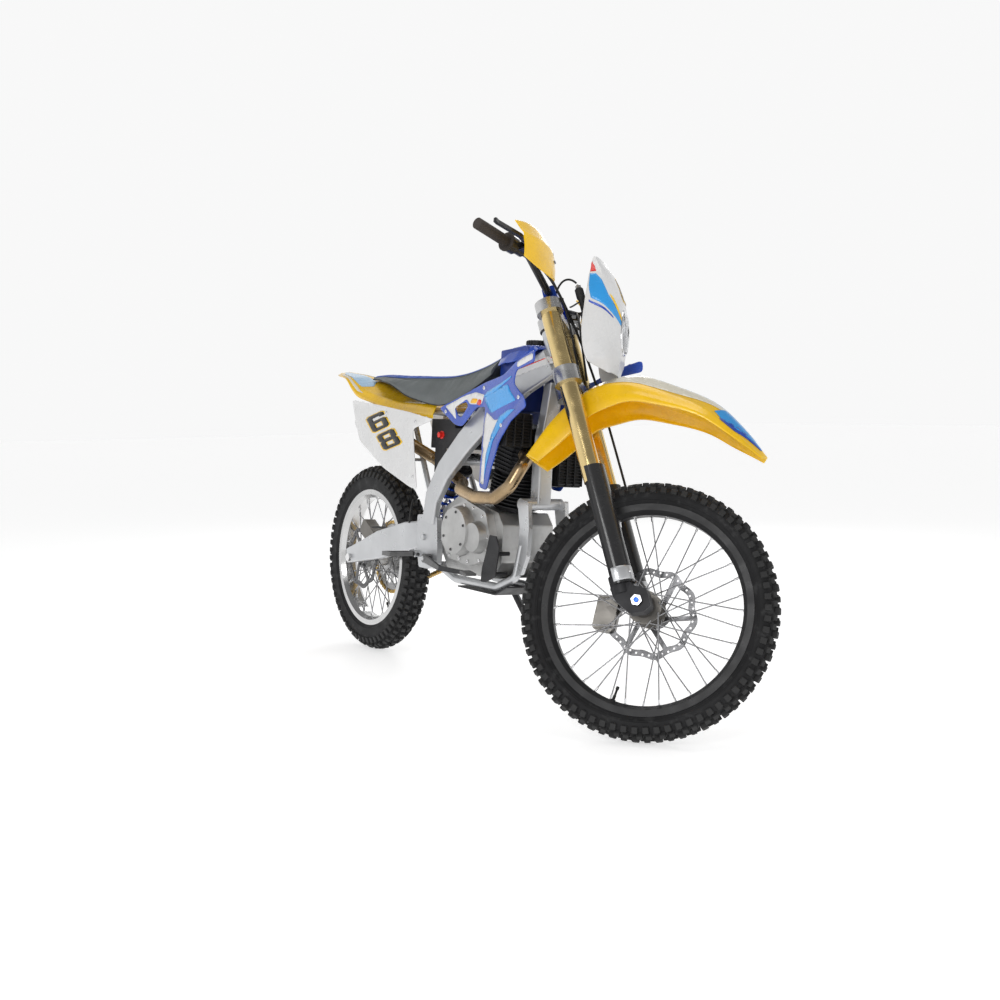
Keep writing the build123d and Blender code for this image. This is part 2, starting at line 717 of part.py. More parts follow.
with BuildPart() as main_frame:
    beam(
        [
            (1046, -26, 1000, SPAR_HALF, 46, 40),
            (960, -60, 944, SPAR_HALF, 46, 40),
            (850, -95, 852, SPAR_HALF, 42, 40),
            (740, -112, 757, SPAR_HALF, 40, 44),
            (640, -117, 668, SPAR_HALF, 38, 50),
            (575, -117, 580, SPAR_HALF, 36, 64),
            (552, -112, 500, SPAR_HALF, 34, 82),
        ],
        8,
    )
    plate(
        [(478, 520), (600, 520), (612, 420), (612, 372), (560, 352), (500, 352), (482, 420)],
        -117,
        -98,
        corner=10,
    )
    pipe([(572, -88, 372), (660, -72, 332), (880, -62, 332), (975, -62, 372), (1000, -62, 470)], 13, 40)
    plate(
        [(975, 600), (1030, 600), (1040, 520), (1036, 440), (1010, 385), (975, 372), (990, 450), (994, 520)],
        -72,
        -59,
        corner=6,
    )
    # foot peg bracket with two ears
    plate([(466, 408), (516, 408), (516, 384), (466, 384)], -116.5, -117.5 + 8, corner=3)
    for low in (466, 506.5):
        with BuildSketch(across(low)) as ear:
            with Locations((-PEG_HINGE[1] + 6, PEG_HINGE[2])):
                Rectangle(30, 18)
        extrude(ear.sketch, amount=7.5)
    rod((460, -PEG_HINGE[1], PEG_HINGE[2]), (520, -PEG_HINGE[1], PEG_HINGE[2]), 5.05, Mode.SUBTRACT)
    mirror(about=Plane.XZ)
    head_disc(0, 0, 1058, 1226, 28)
    beam(
        [
            (1030, 0, 938, 26, 18, 100),
            (1012, 0, 850, 24, 20, 104),
            (996, 0, 790, 24, 22, 100),
            (990, 0, 700, 24, 22, 94),
            (990, 0, 590, 24, 22, 90),
        ],
        6,
    )
    rod((992, -72, 588), (992, 72, 588), 17)
    rod((562, -100, 364), (562, 100, 364), 12)
    rod((640, -106, 700), (640, 106, 700), 14)
    plate([(566, 724), (600, 724), (650, 712), (640, 690), (600, 690), (566, 696)], -26, -16, corner=6)
    plate([(566, 724), (600, 724), (650, 712), (640, 690), (600, 690), (566, 696)], 16, 26, corner=6)
    rod((SHOCK_HIGH[0], -28, SHOCK_HIGH[2]), (SHOCK_HIGH[0], 28, SHOCK_HIGH[2]), 7)
    head_disc(0, 0, 1050, 1230, 20, Mode.SUBTRACT)
    rod((PIVOT[0], -124, PIVOT[2]), (PIVOT[0], 124, PIVOT[2]), 10)
    # brake pedal's pin
    rod((PEDAL_PIVOT[0], -112, PEDAL_PIVOT[1]), (PEDAL_PIVOT[0], -150, PEDAL_PIVOT[1]), 7)
    # side stand's lug
    with BuildSketch(STAND_HINGE.offset(-6)) as lug:
        with BuildLine():
            Polyline((-12, 8), (12, -8), (-28, -54), (-54, -34), close=True)
        make_face()
        Circle(14.5)
    extrude(lug.sketch, amount=12)
    with BuildSketch(STAND_HINGE.offset(-8)) as pin_hole:
        Circle(6 + RUNNING)
    extrude(pin_hole.sketch, amount=16, mode=Mode.SUBTRACT)

with BuildPart() as subframe:
    for side in (1, -1):
        pipe([(768, side * 72, 846), (640, side * 72, 842), (92, side * 72, 872)], 10, 60)
        rod((520, side * 88, 562), (344, side * 76, 848), 9)
        rod((528, side * 84, 558), (528, side * 98, 558), 9)
        rod((758, side * 72, 846), (758, side * 96.5, 846), 8)
        rod((300, side * 74, 858), (300, side * 74, 829), 6)
        rod((300, side * 74, 836), (300, side * 149, 836), 5)
        rod((438, side * 80, 694), (438, side * 149, 694), 5)
    rod((92, -72, 872), (92, 72, 872), 8)
    rod((636, -72, 842), (636, 72, 842), 8)

# ---- engine --------------------------------------------------------------------------------------
CYLINDER_TILT = 12.1
DECK = Plane(
    origin=(852, 0, 567.4),
    x_dir=(cos(radians(CYLINDER_TILT)), 0, -sin(radians(CYLINDER_TILT))),
    z_dir=(sin(radians(CYLINDER_TILT)), 0, cos(radians(CYLINDER_TILT))),
)
SHIFT_SHAFT = (692.0, 402.0)
KICK_SHAFT = (700.0, 482.0)
with BuildPart() as crankcase:
    plate(
        [(586, 430), (640, 359), (888, 359), (935, 412), (935, 520), (905, 556), (700, 600), (590, 545)],
        -90,
        48,
        corner=12,
    )
    plate(
        [(668, 359), (888, 359), (935, 412), (935, 520), (905, 556), (700, 600), (668, 584)],
        46,
        90,
        corner=12,
    )
    rod((PINION[0], 28, PINION[2]), (PINION[0], 60, PINION[2]), 11 + RUNNING, Mode.SUBTRACT)
    rod((SHIFT_SHAFT[0], 60, SHIFT_SHAFT[1]), (SHIFT_SHAFT[0], 95, SHIFT_SHAFT[1]), 7 + RUNNING, Mode.SUBTRACT)
    rod((KICK_SHAFT[0], 60, KICK_SHAFT[1]), (KICK_SHAFT[0], 95, KICK_SHAFT[1]), 9 + RUNNING, Mode.SUBTRACT)

CLUTCH_OUTLINE = [
    (640, 505),
    (634, 450),
    (680, 402),
    (800, 388),
    (890, 412),
    (912, 480),
    (880, 556),
    (770, 584),
    (690, 560),
]
with BuildPart() as engine_covers:
    plate(CLUTCH_OUTLINE, -118, -90.3, corner=22)
    frustum((752, -117, 490), (752, -148, 490), 78, 70)
    frustum((846, -117, 478), (846, -142, 478), 50, 43)
    frustum((800, 90.3, 470), (800, 118, 470), 80, 70)

with BuildPart() as cylinder_barrel:
    with BuildSketch(DECK.offset(0.3)) as core:
        Circle(60)
    extrude(core.sketch, amount=112)
    for k in range(9):
        with BuildSketch(DECK.offset(14 + 11 * k)) as fin:
            Circle(80)
        extrude(fin.sketch, amount=3.2)
    with BuildSketch(DECK) as bore:
        Circle(39)
    extrude(bore.sketch, amount=114, mode=Mode.SUBTRACT)

with BuildPart() as cylinder_head:
    with BuildSketch(DECK.offset(112.6)) as core:
        RectangleRounded(118, 128, 22)
    extrude(core.sketch, amount=80)
    for k in range(6):
        with BuildSketch(DECK.offset(118 + 12 * k)) as fin:
            RectangleRounded(130, 142, 26)
        extrude(fin.sketch, amount=3.4)
    with BuildSketch(DECK.offset(192)) as rocker_cover:
        RectangleRounded(112, 116, 24)
    extrude(rocker_cover.sketch, amount=62, taper=8)

EXHAUST_ROUTE = [
    (962, -46, 729),
    (1000, -59, 722),
    (1026, -100, 694),
    (1016, -128, 640),
    (955, -138, 602),
    (850, -138, 598),
    (740, -122, 614),
    (672, -72, 632),
    (500, -72, 700),
    (424, -109, 738),
    (334, -109, 768),
]
MUFFLER_START, MUFFLER_END = Vector(334, -109, 768), Vector(-110, -109, 836)
muffler_way = (MUFFLER_END - MUFFLER_START).normalized()


def on_muffler(distance):
    """A point on the muffler's middle line."""
    return tuple(MUFFLER_START + muffler_way * distance)


with BuildPart() as exhaust:
    pipe(EXHAUST_ROUTE, 19, 24)
    rod(on_muffler(0.3), on_muffler(30), 20)
    frustum(on_muffler(28), on_muffler(70), 20, 39)
    rod(on_muffler(70), on_muffler(262), 39)
    frustum(on_muffler(262), on_muffler(300), 39, 24)
    rod(on_muffler(302), on_muffler(240), 15, Mode.SUBTRACT)

with BuildPart() as carburettor:
    rod((707, 0, 768), (822, 0, 745.5), 24)
    rod((752, 0, 790), (752, 0, 700), 27)
    with BuildSketch(Plane(origin=(752, 0, 716), z_dir=(0, 0, -1))) as bowl:
        RectangleRounded(60, 66, 12)
    extrude(bowl.sketch, amount=34)

with BuildPart() as airbox:
    plate([(508, 828), (646, 828), (651, 800), (700, 800), (700, 742), (640, 736), (508, 736)], -96, 96, corner=4)
    mirrored_plate([(535, 760), (600, 760), (600, 645), (565, 640), (535, 660)], 92.4, 96)

with BuildPart() as radiators:
    for side in (1, -1):
        low = 640 if side > 0 else 752
        with BuildSketch(Plane(origin=(962, side * 96, 0), x_dir=SIDEWAYS, z_dir=(1, 0, 0))) as core:
            with Locations((0, (low + 850) / 2)):
                RectangleRounded(92, 850 - low, 8)
        extrude(core.sketch, amount=32)

# ---- bodywork ------------------------------------------------------------------------------------
with BuildPart() as fuel_tank:
    plate(
        [(655, 806), (832, 806), (842, 853), (905, 858), (908, 985), (838, 1000), (836, 968), (655, 876)],
        -50,
        50,
        corner=6,
    )
    plate([(838, 1036), (968, 1046), (982, 1032), (928, 992), (838, 912)], -62, 62, corner=6)
    rod((934, 0, 1030), (934, 0, 1051), 25)
    rod((934, 0, 1034), (934, 0, 1060), 20, Mode.SUBTRACT)

with BuildPart() as fuel_cap:
    rod((934, 0, 1051.4), (934, 0, 1066), 31)
    rod((934, 0, 1036), (934, 0, 1052), 20 - RUNNING)

SEAT_STATIONS = [
    # x, half width low, lower edge, half width high, top, underside
    (-38, 30, 966, 26, 978, 962),
    (60, 50, 961, 38, 980, 955),
    (131, 76, 952, 54, 976, 944),
    (224, 106, 944, 62, 972, 932),
    (300, 112, 922, 68, 970, 911),
    (380, 115, 897, 72, 968, 897),
    (530, 114, 872, 70, 966, 894),
    (607, 112, 872, 68, 970, 894),
    (680, 104, 892, 66, 980, 902),
    (760, 98, 925, 62, 998, 938),
    (833, 92, 960, 56, 1022, 985),
]
with BuildPart() as seat:
    faces = []
    for x, low_half, low, high_half, top, under in SEAT_STATIONS:
        outline = [(-low_half + 26, under), (-low_half, low), (-high_half, top - 10), (-high_half + 18, top)]
        outline += [(-y, z) for y, z in reversed(outline)]
        faces.append((across(x), outline))
    skin(faces)

SHROUD_OUTLINE = [
    (619, 860),
    (713, 811),
    (754, 805),
    (838, 864),
    (897, 864),
    (885, 826),
    (871, 738),
    (859, 628),
    (905, 621),
    (932, 680),
    (991, 767),
    (1064, 824),
    (1157, 865),
    (1141, 888),
    (1072, 929),
    (1081, 965),
    (1194, 984),
    (1190, 1017),
    (1079, 988),
    (1003, 954),
    (875, 934),
]
SHROUD_HOLE = [(708, 866), (728, 838), (750, 832), (790, 868), (776, 880)]
SHROUD_BEND, SHROUD_Y, SHROUD_TIP = 875.0, 134.0, (1220.0, 191.7)
with BuildPart() as tank_shrouds:
    plate(SHROUD_OUTLINE, -200, -130)
    plate(SHROUD_HOLE, -200, -130, mode=Mode.SUBTRACT)
    with BuildSketch(Plane.XY.offset(600)) as wall:
        with BuildLine():
            Polyline(
                (560, -SHROUD_Y),
                (SHROUD_BEND, -SHROUD_Y),
                (SHROUD_TIP[0], -SHROUD_TIP[1]),
                (SHROUD_TIP[0], -SHROUD_TIP[1] - 3),
                (SHROUD_BEND, -SHROUD_Y - 3),
                (560, -SHROUD_Y - 3),
                close=True,
            )
        make_face()
    extrude(wall.sketch, amount=450, mode=Mode.INTERSECT)
    mirror(about=Plane.XZ)

PANEL_OUTLINE = [
    (42, 885),
    (251, 868),
    (457, 846),
    (606, 824),
    (486, 793),
    (503, 706),
    (524, 601),
    (479, 607),
    (306, 659),
    (116, 747),
]
with BuildPart() as side_panels:
    mirrored_plate(PANEL_OUTLINE, 149.3, 152.3, corner=8)

FENDER_REAR = [
    # x, crown, heading, half width, drop, shoulder
    (-293, 1000, -2, 36, 10, 5),
    (-230, 994, -4, 74, 14, 8),
    (-120, 981, -8, 98, 16, 10),
    (-45, 964, -10, 106, 40, 20),
    (22, 952, -14, 110, 56, 30),
    (120, 931, -12, 110, 54, 30),
    (224, 912, -10, 110, 56, 26),
    (300, 899, -6, 108, 54, 22),
    (450, 890, 0, 106, 56, 16),
    (522, 889, 0, 104, 60, 14),
]
with BuildPart() as rear_fender:
    skin(along_fender(FENDER_REAR, 3.0))
    with BuildSketch(across(-128)) as lamp:
        with Locations((0, 930)):
            RectangleRounded(110, 46, 14)
    extrude(lamp.sketch, amount=60)

with BuildPart() as engine_guard:
    plate([(690, 311), (900, 311), (962, 340), (960, 344), (898, 315), (690, 315)], -84, 84)
    wing = [(880, 350), (905, 352), (955, 372), (969, 458), (950, 491), (916, 492), (902, 440), (884, 392)]
    mirrored_plate(wing, 120.5, 124, corner=5)
    for side in (1, -1):
        rod((952, side * 76.5, 440), (952, side * 122, 440), 6)
        rod((944, side * 76.5, 380), (944, side * 122, 380), 6)

# ---- levers, pegs and stand ----------------------------------------------------------------------
with BuildPart() as footpeg:
    hinge = PEG_HINGE
    rod((474.2, -hinge[1], hinge[2]), (505.8, -hinge[1], hinge[2]), 8.5)
    rod((462, -hinge[1], hinge[2]), (518, -hinge[1], hinge[2]), 5)
    with BuildSketch(Plane(origin=(490, 0, 401), x_dir=(1, 0, 0), z_dir=(0, 0, -1))) as tread:
        with Locations((0, 190)):
            RectangleRounded(48, 92, 6)
        with Locations((0, 188)):
            RectangleRounded(34, 76, 4, mode=Mode.SUBTRACT)
        with Locations((0, 188)):
            Rectangle(5, 80)
        with Locations((0, 142)):
            Rectangle(24, 16)
    extrude(tread.sketch, amount=13)

with BuildPart() as brake_pedal:
    rod((PEDAL_PIVOT[0], -146, PEDAL_PIVOT[1]), (PEDAL_PIVOT[0], -121, PEDAL_PIVOT[1]), 14)
    plate([(575, 400), (672, 374), (835, 376), (842, 364), (670, 360), (574, 376)], -146, -136, corner=4)
    plate([(828, 379), (866, 372), (864, 365), (828, 366)], -166, -130, corner=2)
    rod((PEDAL_PIVOT[0], -148, PEDAL_PIVOT[1]), (PEDAL_PIVOT[0], -119, PEDAL_PIVOT[1]), 7 + RUNNING, Mode.SUBTRACT)

with BuildPart() as shift_lever:
    rod((SHIFT_SHAFT[0], 66, SHIFT_SHAFT[1]), (SHIFT_SHAFT[0], 134, SHIFT_SHAFT[1]), 7)
    rod((SHIFT_SHAFT[0], 121, SHIFT_SHAFT[1]), (SHIFT_SHAFT[0], 135, SHIFT_SHAFT[1]), 13)
    plate([(690, 412), (820, 412), (826, 400), (690, 392)], 124, 133, corner=4)
    rod((818, 124, 406), (818, 168, 406), 8)

with BuildPart() as kick_lever:
    rod((KICK_SHAFT[0], 66, KICK_SHAFT[1]), (KICK_SHAFT[0], 148, KICK_SHAFT[1]), 9)
    rod((KICK_SHAFT[0], 134, KICK_SHAFT[1]), (KICK_SHAFT[0], 150, KICK_SHAFT[1]), 17)
    plate([(688, 478), (714, 486), (668, 644), (646, 640)], 136, 148, corner=5)
    rod((657, 136, 640), (657, 204, 640), 9)

leg_start = STAND_HINGE.from_local_coords(Vector(5.4, 31.5, 0))
GROUND = Plane(PARKED.inverse() * Location((0, 0, 0)))
foot_row = PARKED * Location((STAND_FOOT[0], STAND_FOOT[1], 24.0))
foot_spot = Vector(foot_row.position.X, foot_row.position.Y, 0)
with BuildPart() as side_stand:
    for low in (-12.3, 6.3):
        with BuildSketch(STAND_HINGE.offset(low)) as ear:
            Circle(13)
            with BuildLine():
                Polyline((-13, 0), (-9, 42), (17, 40), (13, 0), close=True)
            make_face()
        extrude(ear.sketch, amount=6)
    with BuildSketch(STAND_HINGE.offset(-12.3)) as web:
        with Locations((5, 37)):
            Rectangle(24, 10)
    extrude(web.sketch, amount=24.6)
    with BuildSketch(STAND_HINGE.offset(-13)) as pin:
        Circle(6)
    extrude(pin.sketch, amount=26)
    foot_top = GROUND.from_local_coords(foot_spot + Vector(0, 0, 7))
    rod(tuple(leg_start), tuple(foot_top), 11)
    with BuildSketch(Plane(PARKED.inverse() * Location(tuple(foot_spot)))) as foot:
        SlotOverall(78, 44)
    extrude(foot.sketch, amount=9)

# ---- swinging arm and shock absorber -------------------------------------------------------------
with BuildPart() as swingarm:
    beam(
        [
            (-26, -97, 334, 14, 26, 10),
            (60, -97, 356, 14, 34, 14),
            (200, -97, 394, 14, 48, 12),
            (390, -97, 440, 14, 48, 10),
            (450, -87, 452, 11, 44, 8),
            (546, -87, 455, 11, 30, 0),
        ],
        6,
    )
    mirror(about=Plane.XZ)
    rod((PIVOT[0], -94, PIVOT[2]), (PIVOT[0], 94, PIVOT[2]), 18)
    plate([(345, 420), (356, 440), (480, 462), (500, 440), (480, 408), (390, 398)], -20, 20, corner=5)
    plate([(360, 448), (470, 462), (500, 440), (470, 414), (380, 404)], -86, 86, corner=5)
    plate([(330, 480), (380, 480), (392, 430), (330, 425)], -17.3, 17.3, mode=Mode.SUBTRACT)
    mirrored_plate([(342, 474), (376, 474), (396, 440), (372, 425), (342, 436)], 17.3, 25, corner=5)
    rod((SHOCK_LOW[0], -25, SHOCK_LOW[2]), (SHOCK_LOW[0], 25, SHOCK_LOW[2]), 6)
    rod((PIVOT[0], -98, PIVOT[2]), (PIVOT[0], 98, PIVOT[2]), 10 + RUNNING, Mode.SUBTRACT)
    rod((0, -120, REAR_RADIUS), (0, 120, REAR_RADIUS), AXLE + RUNNING, Mode.SUBTRACT)

with BuildPart() as rear_axle:
    rod((0, -120, REAR_RADIUS), (0, 122, REAR_RADIUS), AXLE)
    rod((0, -82.6, REAR_RADIUS), (0, -58.5, REAR_RADIUS), 17)
    rod((0, 62.5, REAR_RADIUS), (0, 82.6, REAR_RADIUS), 17)
    for low in (-121, 111.5):
        with BuildSketch(
            Plane(origin=(0, low, REAR_RADIUS), x_dir=(1, 0, 0), z_dir=(0, 1, 0))
        ) as nut:
            RegularPolygon(15, 6)
        extrude(nut.sketch, amount=9.5)

with BuildPart() as rear_caliper:
    with BuildSketch(
        Plane(origin=(66, -82, 426), x_dir=(cos(radians(30)), 0, -sin(radians(30))), z_dir=(0, 1, 0))
    ) as body:
        RectangleRounded(96, 54, 12)
    extrude(body.sketch, amount=42)
    with BuildSketch(side_plane(-56.6)) as slot:
        with Locations((0, REAR_RADIUS)):
            Circle(118)
            Circle(60, mode=Mode.SUBTRACT)
    extrude(slot.sketch, amount=6.4, mode=Mode.SUBTRACT)

shock_line = Vector(*SHOCK_HIGH) - Vector(*SHOCK_LOW)
shock_way = shock_line.normalized()


def on_shock(start, end, radius, mode=Mode.ADD):
    """A cylinder along the shock absorber, measured from its lower eye."""
    low, high = Vector(*SHOCK_LOW) + shock_way * start, Vector(*SHOCK_LOW) + shock_way * end
    rod(tuple(low), tuple(high), radius, mode)


SHOCK_LENGTH = shock_line.length
with BuildPart() as shock_body:
    rod((SHOCK_HIGH[0], -15.5, SHOCK_HIGH[2]), (SHOCK_HIGH[0], 15.5, SHOCK_HIGH[2]), 15)
    on_shock(SHOCK_LENGTH - 40, SHOCK_LENGTH - 8, 15)
    on_shock(175, SHOCK_LENGTH - 34, 21)
    on_shock(SHOCK_LENGTH - 56, SHOCK_LENGTH - 44, 33)
    on_shock(170, 250, 8 + RUNNING, Mode.SUBTRACT)
    rod((SHOCK_HIGH[0], -20, SHOCK_HIGH[2]), (SHOCK_HIGH[0], 20, SHOCK_HIGH[2]), 7 + RUNNING, Mode.SUBTRACT)

with BuildPart() as shock_rod:
    rod((SHOCK_LOW[0], -15.5, SHOCK_LOW[2]), (SHOCK_LOW[0], 15.5, SHOCK_LOW[2]), 13)
    on_shock(8, 34, 13)
    on_shock(30, 190, 8)
    on_shock(34, 42, 33)
    rod((SHOCK_LOW[0], -20, SHOCK_LOW[2]), (SHOCK_LOW[0], 20, SHOCK_LOW[2]), 7.5, Mode.SUBTRACT)

with BuildPart() as shock_spring:
    on_shock(42.5, SHOCK_LENGTH - 56.5, 31)
    on_shock(40, SHOCK_LENGTH - 50, 23, Mode.SUBTRACT)

# ---- controls on the bar ---------------------------------------------------------------------------
button_spot, bar_outward = along_bar(1, 188)
toward_rider = (Vector(*HEAD.z_dir) * 0.9 - Vector(*HEAD.x_dir) * 0.43)
toward_rider = (toward_rider - bar_outward * toward_rider.dot(bar_outward)).normalized()
BUTTON = Plane(origin=button_spot, z_dir=toward_rider)
with left_controls:
    with BuildSketch(BUTTON.offset(14)) as boss:
        Circle(9)
    extrude(boss.sketch, amount=9)
    with BuildSketch(BUTTON.offset(13)) as boss_bore:
        Circle(6 + RUNNING)
    extrude(boss_bore.sketch, amount=12, mode=Mode.SUBTRACT)
with BuildPart() as kill_button:
    with BuildSketch(BUTTON.offset(17)) as stem:
        Circle(6)
    extrude(stem.sketch, amount=10)

HOSE_ROUTE = [
    (58, -196, 1366),
    (58, -150, 1330),
    (66, -62, 1290),
    (70, 30, 1200),
    (74, 84, 1090),
    (76, 100, 960),
    (77, 101, 820),
    (77.5, 100, 690),
]
CLUTCH_ROUTE = [(58, 196, 1362), (68, 142, 1320), (75, 62, 1240), (62, 56, 1130), (57, 48, 1068)]
THROTTLE_ROUTE = [(40, -196, 1350), (66, -142, 1310), (75, -60, 1240), (60, -50, 1130), (56, -44, 1068)]
with BuildPart() as control_cables:
    for route, radius, bend in ((HOSE_ROUTE, 3.6, 38), (CLUTCH_ROUTE, 3.4, 34), (THROTTLE_ROUTE, 3.0, 34)):
        pipe([head_point(*p) for p in route], radius, bend)

# ---- parked places -------------------------------------------------------------------------------
FIXED_PARTS = dict(
    main_frame=main_frame,
    subframe=subframe,
    crankcase=crankcase,
    engine_covers=engine_covers,
    cylinder_barrel=cylinder_barrel,
    cylinder_head=cylinder_head,
    exhaust=exhaust,
    carburettor=carburettor,
    airbox=airbox,
    radiators=radiators,
    fuel_tank=fuel_tank,
    fuel_cap=fuel_cap,
    seat=seat,
    tank_shrouds=tank_shrouds,
    side_panels=side_panels,
    rear_fender=rear_fender,
    engine_guard=engine_guard,
    footpeg_right=footpeg,
    brake_pedal=brake_pedal,
    shift_lever=shift_lever,
    kick_lever=kick_lever,
    side_stand=side_stand,
    front_sprocket=front_sprocket,
    drive_chain=drive_chain,
    swingarm=swingarm,
    rear_axle=rear_axle,
    rear_caliper=rear_caliper,
    shock_body=shock_body,
    shock_rod=shock_rod,
    shock_spring=shock_spring,
    rear_tyre=rear_tyre,
    rear_rim=rear_rim,
    rear_spokes=rear_spokes,
    rear_hub=rear_hub,
    rear_disc=rear_disc,
    rear_sprocket=rear_sprocket,
)
with BuildPart() as footpeg_left:
    add(footpeg.part.mirror(Plane.XZ))
FIXED_PARTS["footpeg_left"] = footpeg_left
TURNED_PARTS = dict(
    triple_clamps=triple_clamps,
    bar_risers=bar_risers,
    fork_tubes=fork_tubes,
    handlebar=handlebar,
    headlight_mask=headlight_mask,
    front_fender=front_fender,
    hand_guards=hand_guards,
    right_controls=right_controls,
    left_controls=left_controls,
    control_cables=control_cables,
    throttle_grip=throttle_grip,
    brake_lever=brake_lever,
    clutch_lever=clutch_lever,
    kill_button=kill_button,
    fork_sliders=fork_sliders,
    front_axle=front_axle,
    fork_guards=fork_guards,
    front_caliper=front_caliper,
    front_tyre=front_tyre,
    front_rim=front_rim,
    front_spokes=front_spokes,
    front_hub=front_hub,
    front_disc=front_disc,
)
for label, builder in FIXED_PARTS.items():
    store(builder, label)
for label, builder in TURNED_PARTS.items():
    store(builder, label, turned=True)
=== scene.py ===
"""The look of a parked off-road motorcycle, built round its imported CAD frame.

Shapes are written in the machine's own upright frame, in millimetres: X forward from the rear axle,
Y to the rider's left, Z up. The front end is written in the HEAD frame (forward, left, along the
steering axis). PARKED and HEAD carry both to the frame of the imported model, in metres.
"""

import math

import bpy
import numpy as np
from mathutils import Matrix, Vector
from mathutils.bvhtree import BVHTree
from mathutils.geometry import delaunay_2d_cdt


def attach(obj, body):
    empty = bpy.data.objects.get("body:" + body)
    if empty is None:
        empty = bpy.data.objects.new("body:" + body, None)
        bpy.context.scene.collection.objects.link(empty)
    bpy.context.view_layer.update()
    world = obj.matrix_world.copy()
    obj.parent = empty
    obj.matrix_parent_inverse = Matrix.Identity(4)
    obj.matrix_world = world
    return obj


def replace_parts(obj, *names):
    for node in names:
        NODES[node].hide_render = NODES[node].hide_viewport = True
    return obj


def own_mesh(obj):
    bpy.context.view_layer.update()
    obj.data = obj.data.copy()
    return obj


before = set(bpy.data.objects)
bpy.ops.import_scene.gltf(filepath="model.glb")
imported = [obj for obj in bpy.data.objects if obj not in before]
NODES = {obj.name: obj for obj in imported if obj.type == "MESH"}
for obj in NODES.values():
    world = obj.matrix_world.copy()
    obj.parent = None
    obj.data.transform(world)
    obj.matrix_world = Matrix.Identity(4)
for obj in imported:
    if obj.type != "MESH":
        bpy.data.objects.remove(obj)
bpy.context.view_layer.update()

# ---- frames ----------------------------------------------------------------------------------------
MM = 0.001
RAKE, STEER_LOCK, LEAN, PITCH = (math.radians(a) for a in (27.5, 39.5, 4.0, 0.3444))
WHEELBASE, TRAIL = 1455.0, 112.0
FRONT_AXLE = (WHEELBASE, 0.0, 348.0)
REAR_AXLE = (0.0, 0.0, 330.0)

PARKED = (
    Matrix.Translation((-0.705504, -0.074689, 0.0001277))
    @ Matrix.Rotation(-LEAN, 4, "X")
    @ Matrix.Rotation(PITCH, 4, "Y")
)
STEERING_FOOT = Vector(((WHEELBASE + TRAIL) * MM, 0, 0))
STEERING_WAY = Vector((-math.sin(RAKE), 0, math.cos(RAKE)))
TURNED = (
    PARKED
    @ Matrix.Translation(STEERING_FOOT)
    @ Matrix.Rotation(STEER_LOCK, 4, STEERING_WAY)
    @ Matrix.Translation(-STEERING_FOOT)
)
HEAD = TURNED @ Matrix.Translation(STEERING_FOOT) @ Matrix.Rotation(-RAKE, 4, "Y")


# ---- materials -------------------------------------------------------------------------------------
DARK = 0.06  # a colour darker than this takes a weaker gloss, so that it stays black


